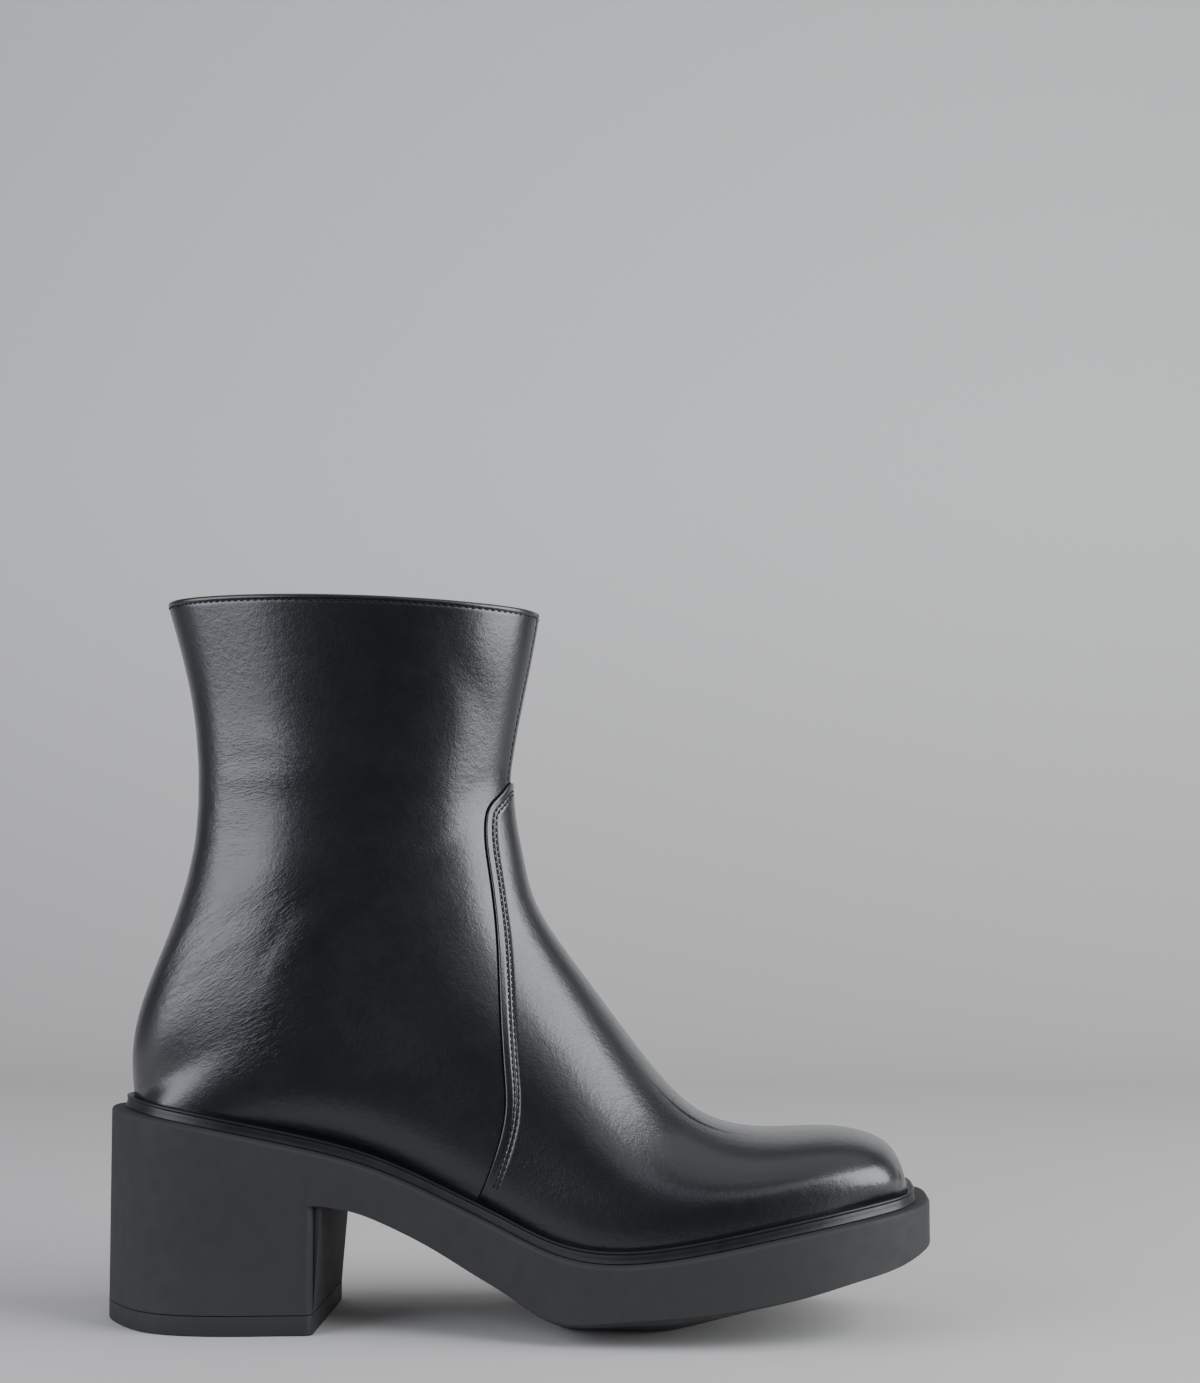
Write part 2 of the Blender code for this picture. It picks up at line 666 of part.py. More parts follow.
def build_tape(surface, group, tools):
    # Closed zip in its slot: a band just under the leather's face.
    grid, columns, rows = inner_patch()
    normal = grid_normals(np.delete(grid, VAMP_SPANS + 1, axis=0))
    normal = np.insert(normal, VAMP_SPANS, normal[VAMP_SPANS], axis=0)
    sunk = grid - normal * TAPE_DEPTH
    mesh = surface_mesh("zip_tape", sunk, columns, rows)
    thing = place("zip_tape", mesh, surface, group, 60.0)
    add_wall(thing, TAPE_THICK)
    half = ZIP_SLOT / 2.0 - FIT_GAP
    band = box_tool("zip_band", (ZIP_X - half, CUT_NEAR_Y, ZIP_BOTTOM_Z + FIT_GAP),
                    (ZIP_X + half, CUT_FAR_Y, TAPE_TOP_Z), tools)
    add_boolean(thing, band, "INTERSECT")
    return thing


def face_under_slider():
    # How far out the upper's inner side stands, at most, under the slider's plate.
    row, share = np.meshgrid(np.linspace(HEEL_ROW + 2.0, COLLAR_ROW, FACE_SAMPLES),
                             np.linspace(0.2, 0.8, FACE_SAMPLES))
    points = last_point(row, share, np.ones_like(row)).reshape(-1, 3)
    across = np.abs(points[:, 0] - ZIP_X) < SLIDER_WIDTH / 2.0
    along = np.abs(points[:, 2] - SLIDER_Z) < SLIDER_LENGTH / 2.0
    return float(points[across & along, 1].max())


def outline_curve(name, outlines, half_thick, group):
    # Flat plate from closed outlines, the second and later ones being holes.
    curve = bpy.data.curves.new(name, "CURVE")
    curve.dimensions = "2D"
    curve.fill_mode = "BOTH"
    curve.extrude = half_thick
    for outline in outlines:
        line = curve.splines.new("POLY")
        line.points.add(len(outline) - 1)
        for point, (a, b) in zip(line.points, outline):
            point.co = (a, b, 0.0, 1.0)
        line.use_cyclic_u = True
    thing = bpy.data.objects.new(name, curve)
    group.objects.link(thing)
    return thing


def plate_mesh(name, outlines, half_thick, group):
    # The same plate as a welded mesh, so that it can be joined to another piece.
    flat = outline_curve(name + "_outline", outlines, half_thick, group)
    graph = bpy.context.evaluated_depsgraph_get()
    mesh = bpy.data.meshes.new_from_object(flat.evaluated_get(graph))
    mesh.name = name
    bpy.data.objects.remove(flat)
    shape = bmesh.new()
    shape.from_mesh(mesh)
    bmesh.ops.remove_doubles(shape, verts=shape.verts, dist=0.00001)
    bmesh.ops.recalc_face_normals(shape, faces=shape.faces)
    shape.to_mesh(mesh)
    shape.free()
    return mesh


def rounded_box(width, high, low, radius):
    # Outline of a rectangle with round corners, from its width and its two ends.
    points = []
    corners = [(width / 2.0 - radius, high - radius, 0.0),
               (-width / 2.0 + radius, high - radius, 90.0),
               (-width / 2.0 + radius, low + radius, 180.0),
               (width / 2.0 - radius, low + radius, 270.0)]
    for across, up, begin in corners:
        for step in range(CORNER_STEPS + 1):
            turn = math.radians(begin + step * 90.0 / CORNER_STEPS)
            points.append((across + radius * math.cos(turn), up + radius * math.sin(turn)))
    return points


def build_slider(surface, group, tools, face_y):
    # Plate over the slot, a web that runs on the tape, and the crown that holds the tab.
    half_length = SLIDER_LENGTH / 2.0
    low_y = face_y + FIT_GAP
    top_y = low_y + SLIDER_PLATE
    outline = rounded_box(SLIDER_WIDTH, half_length, -half_length, SLIDER_CORNER)
    plate = plate_mesh("zip_slider", [outline], SLIDER_PLATE / 2.0, tools)
    turned = Matrix.Rotation(math.pi / 2.0, 4, "X")
    plate.transform(Matrix.Translation((ZIP_X, (low_y + top_y) / 2.0, SLIDER_Z)) @ turned)
    thing = place("zip_slider", plate, surface, group)
    web_half = SLIDER_WIDTH / 2.0 - WEB_SIDE_INSET
    web_low = (ZIP_X - web_half, face_y - TAPE_DEPTH + FIT_GAP,
               SLIDER_Z - half_length + WEB_END_INSET)
    web_high = (ZIP_X + web_half, low_y + JOIN_DEPTH, SLIDER_Z + half_length - WEB_END_INSET)
    add_boolean(thing, box_tool("slider_web", web_low, web_high, tools), "UNION")
    add_boolean(thing, crown_tool(top_y, tools), "UNION")
    return thing


def crown_tool(top_y, tools):
    # Arch of the crown, standing on the plate with its feet sunk into it.
    outside = CROWN_HALF_LENGTH
    inside = outside - CROWN_LEG
    top = CROWN_CLEAR + CROWN_BAR
    shoulder = top - CROWN_CHAMFER
    arch = [
        (outside, -JOIN_DEPTH),
        (outside, shoulder),
        (outside - CROWN_CHAMFER, top),
        (CROWN_CHAMFER - outside, top),
        (-outside, shoulder),
        (-outside, -JOIN_DEPTH),
        (-inside, -JOIN_DEPTH),
        (-inside, CROWN_CLEAR),
        (inside, CROWN_CLEAR),
        (inside, -JOIN_DEPTH),
    ]
    crown = plate_mesh("slider_crown", [arch], CROWN_WIDTH / 2.0, tools)
    crown.transform(Matrix(((0, 0, 1, ZIP_X), (0, 1, 0, top_y), (1, 0, 0, SLIDER_Z), (0, 0, 0, 1))))
    shape = bmesh.new()
    shape.from_mesh(crown)
    bmesh.ops.recalc_face_normals(shape, faces=shape.faces)
    shape.to_mesh(crown)
    shape.free()
    return tool_object("slider_crown", crown, tools)


def build_pull(surface, group, tools, axis_y):
    # Tab that hangs from the crown by the bar above its window.
    bar = PULL_THICK / 2.0
    end = rounded_box(PULL_END_WIDTH, 0.0, bar - PULL_LENGTH, PULL_END_CORNER)
    tab = [(PULL_TOP_WIDTH / 2.0, bar), (-PULL_TOP_WIDTH / 2.0, bar)] + end[len(end) // 2:]
    window = rounded_box(PULL_WINDOW_WIDTH, -bar, -bar - PULL_WINDOW, WINDOW_CORNER)
    grip = rounded_box(GRIP_WIDTH, GRIP_TOP, GRIP_END, GRIP_CORNER)
    mesh = plate_mesh("zip_pull", [tab, window[::-1], grip[::-1]], PULL_THICK / 2.0, tools)
    mesh.transform(Matrix.Translation(-CENTRE) @ Matrix.Rotation(math.pi / 2.0, 4, "X"))
    thing = place("zip_pull", mesh, surface, group)
    thing.location = Vector((ZIP_X, axis_y, SLIDER_Z)) + CENTRE
    return thing


def main():
    for old in list(bpy.data.objects):
        bpy.data.objects.remove(old)
    boot = bpy.data.collections.new("zip_ankle_boot")
    tools = bpy.data.collections.new("boot_cutters")
    for group in (boot, tools):
        bpy.context.scene.collection.children.link(group)

    leather = material("black_leather", LEATHER_BLACK, 0.28)
    rubber = material("matte_rubber", RUBBER_GREY, 0.75)
    gloss_rubber = material("rand_rubber", RAND_BLACK, 0.42)
    lining = material("lining_leather", LINING_TAN, 0.62)
    tape = material("zip_tape_black", TAPE_BLACK, 0.7)
    nickel = material("zip_metal", NICKEL, 0.3, 1.0)

    build_sole_unit(rubber, boot)
    build_top_piece(rubber, boot)
    build_rand(gloss_rubber, boot)
    build_insole(lining, boot)
    build_upper(leather, boot, tools)
    build_tape(tape, boot, tools)
    face_y = face_under_slider()
    build_slider(nickel, boot, tools, face_y)
    axis_y = face_y + FIT_GAP + SLIDER_PLATE + CROWN_CLEAR / 2.0
    build_pull(nickel, boot, tools, axis_y)


main()
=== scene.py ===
import math

import bmesh
import bpy
import numpy as np
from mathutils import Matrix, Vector


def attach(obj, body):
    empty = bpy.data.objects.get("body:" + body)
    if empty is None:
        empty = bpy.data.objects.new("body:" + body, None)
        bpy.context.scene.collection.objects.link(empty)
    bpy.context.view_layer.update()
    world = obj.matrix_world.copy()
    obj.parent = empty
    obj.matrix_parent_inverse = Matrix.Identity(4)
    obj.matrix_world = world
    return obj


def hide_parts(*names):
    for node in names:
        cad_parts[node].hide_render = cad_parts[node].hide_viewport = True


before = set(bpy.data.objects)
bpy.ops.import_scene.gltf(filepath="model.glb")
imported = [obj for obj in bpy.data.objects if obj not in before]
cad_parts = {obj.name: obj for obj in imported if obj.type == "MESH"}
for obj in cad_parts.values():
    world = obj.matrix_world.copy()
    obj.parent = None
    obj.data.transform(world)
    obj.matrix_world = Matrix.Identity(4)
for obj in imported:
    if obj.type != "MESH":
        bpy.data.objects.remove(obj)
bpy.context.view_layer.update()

# Right ankle boot: black box calf upper on a moulded block-heel sole.
# Shapes are worked out in millimetres about the last's own middle line; bootMiddle
# brings them to the frame, where X runs to the toe, Y to the inner side and Z up.
bootMiddle = np.array([-0.25, 1.2, 0.0])
mm = 0.001

last = {
    # plan of the sole's edge: x, outer half width, inner half width
    "plan": [(126.5, 18.5, 18.5), (121.5, 26.8, 26.3), (112.0, 34.6, 33.4), (98.0, 41.6, 39.4),
             (80.0, 46.2, 43.6), (58.0, 48.2, 45.8), (38.0, 47.4, 44.8), (18.0, 43.8, 40.2),
             (-5.0, 37.6, 32.6), (-30.0, 32.4, 28.4), (-56.0, 30.4, 28.8), (-78.0, 32.5, 31.6),
             (-96.0, 32.7, 32.3), (-110.0, 28.2, 28.0), (-121.0, 16.8, 16.7)],
    "toeX": 128.5,
    "rearX": -128.0,
    # ledge under the rand: x, height
    "ledge": [(-128.0, 65.6), (-112.0, 64.5), (-83.0, 59.6), (-60.0, 54.6), (-39.0, 48.8),
              (-16.0, 39.4), (0.0, 32.4), (11.0, 27.6), (24.0, 24.4), (36.0, 24.1),
              (54.0, 26.3), (79.0, 31.2), (105.0, 36.0), (128.5, 39.4)],
    # sections from the toe to the back of the heel: start x, ridge x, ridge z, outer
    # width, inner width, height share of the widest place, fullness below and above
    # it, ridge y
    "footRows": [(121.6, 121.6, 42.4, 0.0, 0.0, 0.35, 2.0, 2.2, 0.0),
                 (120.8, 120.5, 47.4, 10.2, 10.2, 0.34, 2.0, 2.2, 0.0),
                 (117.2, 117.2, 53.6, 21.8, 21.4, 0.32, 2.0, 2.2, 0.4),
                 (109.0, 109.6, 57.7, 29.7, 28.7, 0.32, 2.0, 2.2, 1.0),
                 (96.0, 97.6, 59.4, 35.4, 33.4, 0.31, 2.0, 2.2, 1.8),
                 (80.0, 83.0, 58.9, 39.5, 37.1, 0.29, 2.0, 2.15, 2.6),
                 (60.0, 69.2, 59.7, 41.6, 39.4, 0.28, 2.0, 2.1, 3.2),
                 (36.0, 54.4, 66.2, 41.4, 39.4, 0.29, 2.0, 2.0, 3.4),
                 (12.0, 39.2, 82.6, 38.2, 36.6, 0.32, 2.0, 2.0, 2.8),
                 (-12.0, 24.7, 101.9, 34.4, 33.2, 0.36, 2.0, 2.0, 1.8),
                 (-38.0, 12.1, 119.1, 32.4, 31.6, 0.38, 2.0, 2.0, 0.8),
                 (-64.0, 5.2, 131.6, 31.2, 30.8, 0.38, 2.0, 2.0, 0.2),
                 (-88.0, 2.2, 143.4, 30.7, 30.5, 0.39, 2.0, 2.0, 0.0),
                 (-107.0, 0.0, 154.6, 30.5, 30.3, 0.40, 2.0, 2.0, 0.0),
                 (-117.5, -1.0, 162.2, 30.3, 30.1, 0.41, 2.0, 2.0, 0.0),
                 (-121.1, -1.4, 167.2, 30.1, 29.9, 0.42, 2.0, 2.05, 0.0)],
    # sections up the shaft: start x, start z on the back line, then the same columns
    "shaftRows": [(-121.6, 83.0, -1.3, 171.8, 29.7, 29.5, 0.42, 2.05, 2.1, 0.0),
                  (-118.3, 99.0, -0.6, 177.4, 29.2, 29.0, 0.43, 2.1, 2.15, 0.0),
                  (-110.5, 119.0, 0.6, 185.0, 28.7, 28.5, 0.44, 2.15, 2.2, 0.0),
                  (-103.5, 142.0, 2.3, 194.0, 28.6, 28.4, 0.45, 2.2, 2.25, 0.0),
                  (-101.4, 166.0, 4.2, 203.6, 29.4, 29.2, 0.46, 2.25, 2.3, 0.0),
                  (-103.9, 194.0, 5.9, 212.8, 31.2, 31.0, 0.47, 2.3, 2.3, 0.0),
                  (-111.9, 224.3, 7.3, 221.1, 33.2, 33.0, 0.47, 2.3, 2.3, 0.0)],
    "collarRise": 1.5,
    "feather": 4.0,  # the leather shows above the rand from this far over the ledge
    "upperInset": 6.9,  # leather's outside at the feather line, from the sole's edge
    "wall": 2.0,
    # away from the heel's corner the row starts are averaged over this many rows, in
    # full from this share on, fading off this many rows either side of the corner
    "startAverage": 1.8,
    "startShare": 0.22,
    "startReach": 2.5,
}


def splineThrough(knots, values, at):
    # Natural cubic spline through rows of values, read at any array of places.
    knots = np.asarray(knots, float)
    values = np.asarray(values, float)
    at = np.asarray(at, float)
    step = np.diff(knots)
    count = len(knots)
    matrix = np.eye(count)
    right = np.zeros_like(values)
    for i in range(1, count - 1):
        matrix[i, i - 1:i + 2] = step[i - 1], 2.0 * (step[i - 1] + step[i]), step[i]
        right[i] = 6.0 * ((values[i + 1] - values[i]) / step[i]
                          - (values[i] - values[i - 1]) / step[i - 1])
    bend = np.linalg.solve(matrix, right)
    span = np.clip(np.searchsorted(knots, at) - 1, 0, count - 2)
    width = step[span].reshape(at.shape + (1,) * (values.ndim - 1))
    far = (at - knots[span]).reshape(width.shape) / width
    near = 1.0 - far
    curve = (near ** 3 - near) * bend[span] + (far ** 3 - far) * bend[span + 1]
    return near * values[span] + far * values[span + 1] + curve * width ** 2 / 6.0


def tableLine(table, column, at):
    # One column of a table over its first column.
    rows = np.array(table)
    return splineThrough(rows[:, 0], rows[:, column], at)


def soleEdge(count=1440):
    # Closed spline through the plan, from the toe round the outer side to the heel and
    # back along the inner side. Three rounds are fitted and the middle one is kept.
    plan = np.array(last["plan"])
    outer = np.column_stack([plan[:, 0], -plan[:, 1]])
    inner = np.column_stack([plan[:, 0], plan[:, 2]])[::-1]
    loop = np.vstack([[[last["toeX"], 0.0]], outer, [[last["rearX"], 0.0]], inner])
    rounds = np.vstack([loop, loop, loop, loop[:1]])
    chord = np.linalg.norm(np.diff(rounds, axis=0), axis=1)
    knots = np.concatenate([[0.0], np.cumsum(chord)])
    around = knots[len(loop)]
    return splineThrough(knots, rounds, np.linspace(around, 2.0 * around, count, endpoint=False))


edgePoints = soleEdge()
edgeAlong = np.roll(edgePoints, -1, axis=0) - np.roll(edgePoints, 1, axis=0)
edgeAlong /= np.linalg.norm(edgeAlong, axis=1)[:, None]
edgeInward = np.column_stack([edgeAlong[:, 1], -edgeAlong[:, 0]])


def insetWidths(inset, x):
    # Half widths of the sole's edge moved inwards: outer side and inner side at x.
    moved = edgePoints + inset * edgeInward
    moved = np.roll(moved, -int(np.argmax(moved[:, 0])), axis=0)
    rear = int(np.argmin(moved[:, 0]))
    outer = moved[:rear + 1][::-1]
    inner = moved[rear:]
    lateral = -np.interp(x, outer[:, 0], outer[:, 1])
    medial = np.interp(x, inner[:, 0], inner[:, 1])
    closed = (x > last["toeX"] - inset - 0.001) | (x < last["rearX"] + inset + 0.001)
    return np.where(closed, 0.0, lateral), np.where(closed, 0.0, medial)


def ledgeZ(x):
    # Height of the ledge that the rand stands on.
    return tableLine(last["ledge"], 1, x)


footTable = np.array(last["footRows"])
shaftTable = np.array(last["shaftRows"])
shapeTable = np.vstack([footTable[:, 1:], shaftTable[:, 2:]])
heelRow = len(footTable) - 1
collarRow = heelRow + len(shaftTable)


def rowStart(row):
    # Where a row begins: along the feather line to the heel, then up the back line.
    featherX = splineThrough(np.arange(heelRow + 1), footTable[:, 0], np.minimum(row, heelRow))
    featherZ = ledgeZ(featherX) + last["feather"]
    heel = [[footTable[-1, 0], float(ledgeZ(footTable[-1, 0])) + last["feather"]]]
    back = np.vstack([heel, shaftTable[:, :2]])
    rear = splineThrough(np.arange(len(back)) + heelRow, back, np.maximum(row, heelRow))
    low = row <= heelRow
    lateral, medial = insetWidths(last["upperInset"], featherX)
    return (np.where(low, featherX, rear[..., 0]), np.where(low, featherZ, rear[..., 1]),
            np.where(low, lateral, 0.0), np.where(low, medial, 0.0))


def plainStarts(row):
    # Start x and z of each row, and the angles at which its outer and inner half, each
    # a superellipse, leave the feather line.
    shape = splineThrough(np.arange(collarRow + 1), shapeTable, row)
    x, z, lateral, medial = rowStart(row)
    angles = []
    for width, widest in ((lateral, shape[..., 2]), (medial, shape[..., 3])):
        share = np.clip(width / np.maximum(widest, width * 1.002 + 0.01), 0.0, 1.0)
        angles.append(np.arcsin(share ** (shape[..., 5] / 2.0)))
    return np.stack([x, z, *angles], axis=-1)


startRows = np.linspace(0.0, collarRow, 1101)


def averagedStarts():
    # The same averaged over neighbouring rows by a cosine bell, so that the sections
    # turn round the heel's corner in a curve.
    plain = plainStarts(startRows)
    half = int(round(last["startAverage"] / (startRows[1] - startRows[0])))
    bell = 1.0 + np.cos(np.linspace(-math.pi, math.pi, 2 * half + 1))
    padded = np.pad(plain, ((half, half), (0, 0)), mode="edge")
    return np.stack([np.convolve(padded[:, c], bell / bell.sum(), "valid")
                     for c in range(4)], axis=-1)


startAverages = averagedStarts()


def lastSection(row, share, side):
    # The numbers of one section: its start, its ridge and the two powers of its half.
    shape = splineThrough(np.arange(collarRow + 1), shapeTable, row)
    plain = plainStarts(row)
    soft = np.stack([np.interp(row, startRows, startAverages[:, c]) for c in range(4)], axis=-1)
    away = np.clip(share / last["startShare"], 0.0, 1.0)
    blend = away * away * (3.0 - 2.0 * away)
    blend = blend * np.exp(-((row - heelRow) / last["startReach"]) ** 2)
    start = plain + (soft - plain) * np.asarray(blend)[..., None]
    lateral, medial = rowStart(row)[2:]
    widest = np.where(side < 0, shape[..., 2], shape[..., 3])
    widest = np.maximum(widest, np.where(side < 0, lateral, medial) * 1.002 + 0.01)
    first = np.where(side < 0, start[..., 2], start[..., 3])
    return shape, start, widest, 2.0 / shape[..., 5], 2.0 / shape[..., 6], first


def lastPoint(row, share, side):
    # Point on the outside of the last. Each half section is a superellipse round its
    # widest place, cut off at the feather line: share runs from there, 0, to the
    # ridge, 1, and side is -1 for the outer half and 1 for the inner half.
    shape, start, widest, lowPower, highPower, first = lastSection(row, share, side)
    belly = shape[..., 4]
    turn = first + (math.pi - first) * share
    lowCos = np.maximum(np.cos(turn), 0.0) ** lowPower
    highCos = np.maximum(-np.cos(turn), 0.0) ** highPower
    lowPart = belly * (1.0 - lowCos / np.cos(first) ** lowPower)
    along = np.where(turn < math.pi / 2.0, lowPart, belly + (1.0 - belly) * highCos)
    power = np.where(turn < math.pi / 2.0, lowPower, highPower)
    width = widest * np.abs(np.sin(turn)) ** power
    x = start[..., 0] + (shape[..., 0] - start[..., 0]) * along
    z = start[..., 1] + (shape[..., 1] - start[..., 1]) * along
    nearTop = np.clip(row - collarRow + 1.5, 0.0, 1.5) / 1.5
    z = z + last["collarRise"] * nearTop ** 2 * np.sin(math.pi * along)
    return np.stack([x, side * width + shape[..., 7] * along ** 2, z], axis=-1)


def shareAtWidth(row, width, side):
    # Share at which a half section, past its widest place, is this far from the ridge.
    _, _, widest, _, highPower, first = lastSection(row, np.ones_like(row), side)
    turn = math.pi - np.arcsin(np.clip(width / widest, 0.0, 1.0) ** (1.0 / highPower))
    return (turn - first) / (math.pi - first)


def unit(vectors):
    # Vectors over their own length.
    length = np.linalg.norm(vectors, axis=-1, keepdims=True)
    return vectors / np.maximum(length, 1e-9)


def gridNormals(grid):
    # Outward normals: across the grid crossed with along it.
    return unit(np.cross(np.gradient(grid, axis=1), np.gradient(grid, axis=0)))


def sideFrame(x, z, side):
    # The last's surface under a place of the side view, by Newton steps on row and
    # share: the point and its normal.
    row = np.full_like(x, collarRow - 3.0)
    share = np.full_like(x, 0.5)
    for _ in range(14):
        here = lastPoint(row, share, side)
        byRow = (lastPoint(row + 0.01, share, side) - here) / 0.01
        byShare = (lastPoint(row, share + 0.001, side) - here) / 0.001
        missX = x - here[..., 0]
        missZ = z - here[..., 2]
        det = byRow[..., 0] * byShare[..., 2] - byRow[..., 2] * byShare[..., 0]
        row = row + np.clip((missX * byShare[..., 2] - missZ * byShare[..., 0]) / det, -1.0, 1.0)
        share = share + np.clip((missZ * byRow[..., 0] - missX * byRow[..., 2]) / det, -0.1, 0.1)
        row = np.clip(row, 6.0, collarRow - 0.02)
        share = np.clip(share, 0.02, 0.97)
    normal = unit(np.cross(byShare, byRow) * -side)
    return lastPoint(row, share, side), normal


# Meshes from arrays


def gridFaces(high, wide, closedAcross=False):
    # Quads between neighbours of a grid, closed round in the second direction if asked.
    i = np.arange(high - 1)[:, None]
    j = np.arange(wide if closedAcross else wide - 1)[None, :]
    right = (j + 1) % wide
    corners = [i * wide + j, i * wide + right, (i + 1) * wide + right, (i + 1) * wide + j]
    return np.stack([np.broadcast_to(c, (high - 1, j.shape[1])) for c in corners], -1).reshape(-1, 4)


def shadeRound(mesh, smoothAngle):
    # Smooth faces, with the edges sharp past the angle.
    mesh.shade_smooth()
    mesh.set_sharp_from_angle(angle=math.radians(smoothAngle))


def addMesh(name, points, faces, smoothAngle=50.0, weld=0.02, outward=False):
    # A mesh from an array of points in millimetres and an array of quads, its doubled
    # points merged and, on a closed solid, its faces turned outwards.
    mesh = bpy.data.meshes.new(name)
    places = (np.asarray(points, float).reshape(-1, 3) + bootMiddle) * mm
    faces = np.asarray(faces)
    mesh.vertices.add(len(places))
    mesh.vertices.foreach_set("co", places.ravel())
    mesh.loops.add(faces.size)
    mesh.loops.foreach_set("vertex_index", faces.ravel())
    mesh.polygons.add(len(faces))
    mesh.polygons.foreach_set("loop_start", np.arange(len(faces)) * faces.shape[1])
    mesh.update(calc_edges=True)
    mesh.validate()
    shape = bmesh.new()
    shape.from_mesh(mesh)
    bmesh.ops.remove_doubles(shape, verts=shape.verts, dist=weld * mm)
    bmesh.ops.dissolve_degenerate(shape, edges=shape.edges, dist=1e-7)
    if outward:
        bmesh.ops.recalc_face_normals(shape, faces=shape.faces)
    shape.to_mesh(mesh)
    shape.free()
    shadeRound(mesh, smoothAngle)
    return mesh


def addPiece(name, mesh, surface, body="boot", replaced=()):
    # The object of a finished mesh, with its material, body and replaced nodes.
    piece = bpy.data.objects.new(name, mesh)
    bpy.context.scene.collection.objects.link(piece)
    mesh.materials.clear()
    mesh.materials.append(surface)
    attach(piece, body)
    if replaced:
        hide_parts(*replaced)
    print(name, "done:", len(mesh.polygons), "faces")
    return piece


def shellFaces(high, wide, openColumns):
    # Two grids of one size, outside and inside, joined along their borders. The side
    # borders are joined over the first rows only; above them the halves meet.
    outside = gridFaces(high, wide)
    inside = outside[:, ::-1] + high * wide
    j = np.arange(wide - 1)
    first = np.stack([j + 1, j, j + high * wide, j + 1 + high * wide], -1)
    top = j + (high - 1) * wide
    lastRow = np.stack([top, top + 1, top + 1 + high * wide, top + high * wide], -1)
    i = np.arange(openColumns) * wide
    left = np.stack([i, i + wide, i + wide + high * wide, i + high * wide], -1)
    k = i + wide - 1
    right = np.stack([k + wide, k, k + high * wide, k + wide + high * wide], -1)
    return np.vstack([outside, inside, first, lastRow, left, right])


def ballTemplate(around=7, along=5):
    # Unit ball as rings along X. Those at its poles are points, merged by the weld.
    turn = np.arange(around) / around * 2.0 * math.pi
    tilt = np.linspace(0.0, math.pi, along + 2)[:, None]
    ball = np.stack([-np.cos(tilt) + 0.0 * turn, np.sin(tilt) * np.cos(turn),
                     np.sin(tilt) * np.sin(turn)], -1)
    return ball.reshape(-1, 3), gridFaces(along + 2, around, True)[:, ::-1]


def repeated(template, places, axes, sizes):
    # The template at every place: its three axes turned to the rows of axes and
    # stretched by sizes, all in one array.
    points, faces = template
    turned = np.einsum("vk,nkc->nvc", points * np.asarray(sizes), axes) + places[:, None, :]
    shifts = (np.arange(len(places)) * len(points))[:, None, None]
    return turned.reshape(-1, 3), (faces[None] + shifts).reshape(-1, faces.shape[1])


def evenPath(points, normals, pitch):
    # Places a pitch apart along a line of points, with tangent, side and normal there.
    step = np.linalg.norm(np.diff(points, axis=0), axis=1)
    reach = np.concatenate([[0.0], np.cumsum(step)])
    at = np.arange(pitch / 2.0, reach[-1], pitch)
    place = np.stack([np.interp(at, reach, points[:, c]) for c in range(3)], -1)
    normal = unit(np.stack([np.interp(at, reach, normals[:, c]) for c in range(3)], -1))
    tangent = unit(np.gradient(place, axis=0))
    side = unit(np.cross(normal, tangent))
    return place, np.stack([tangent, side, unit(np.cross(tangent, side))], axis=1)


# Materials


def colour(code):
    # sRGB hex to linear.
    parts = [int(code[i:i + 2], 16) / 255.0 for i in (1, 3, 5)]
    return (*[p / 12.92 if p <= 0.04045 else ((p + 0.055) / 1.055) ** 2.4 for p in parts], 1.0)


def addNode(tree, kind, settings=None, links=None):
    # One node, its settings and what feeds it.
    node = tree.nodes.new(kind)
    for name, value in (settings or {}).items():
        if isinstance(name, int) or name in node.inputs:
            node.inputs[name].default_value = value
        else:
            setattr(node, name, value)
    for name, source in (links or {}).items():
        tree.links.new(source, node.inputs[name])
    return node


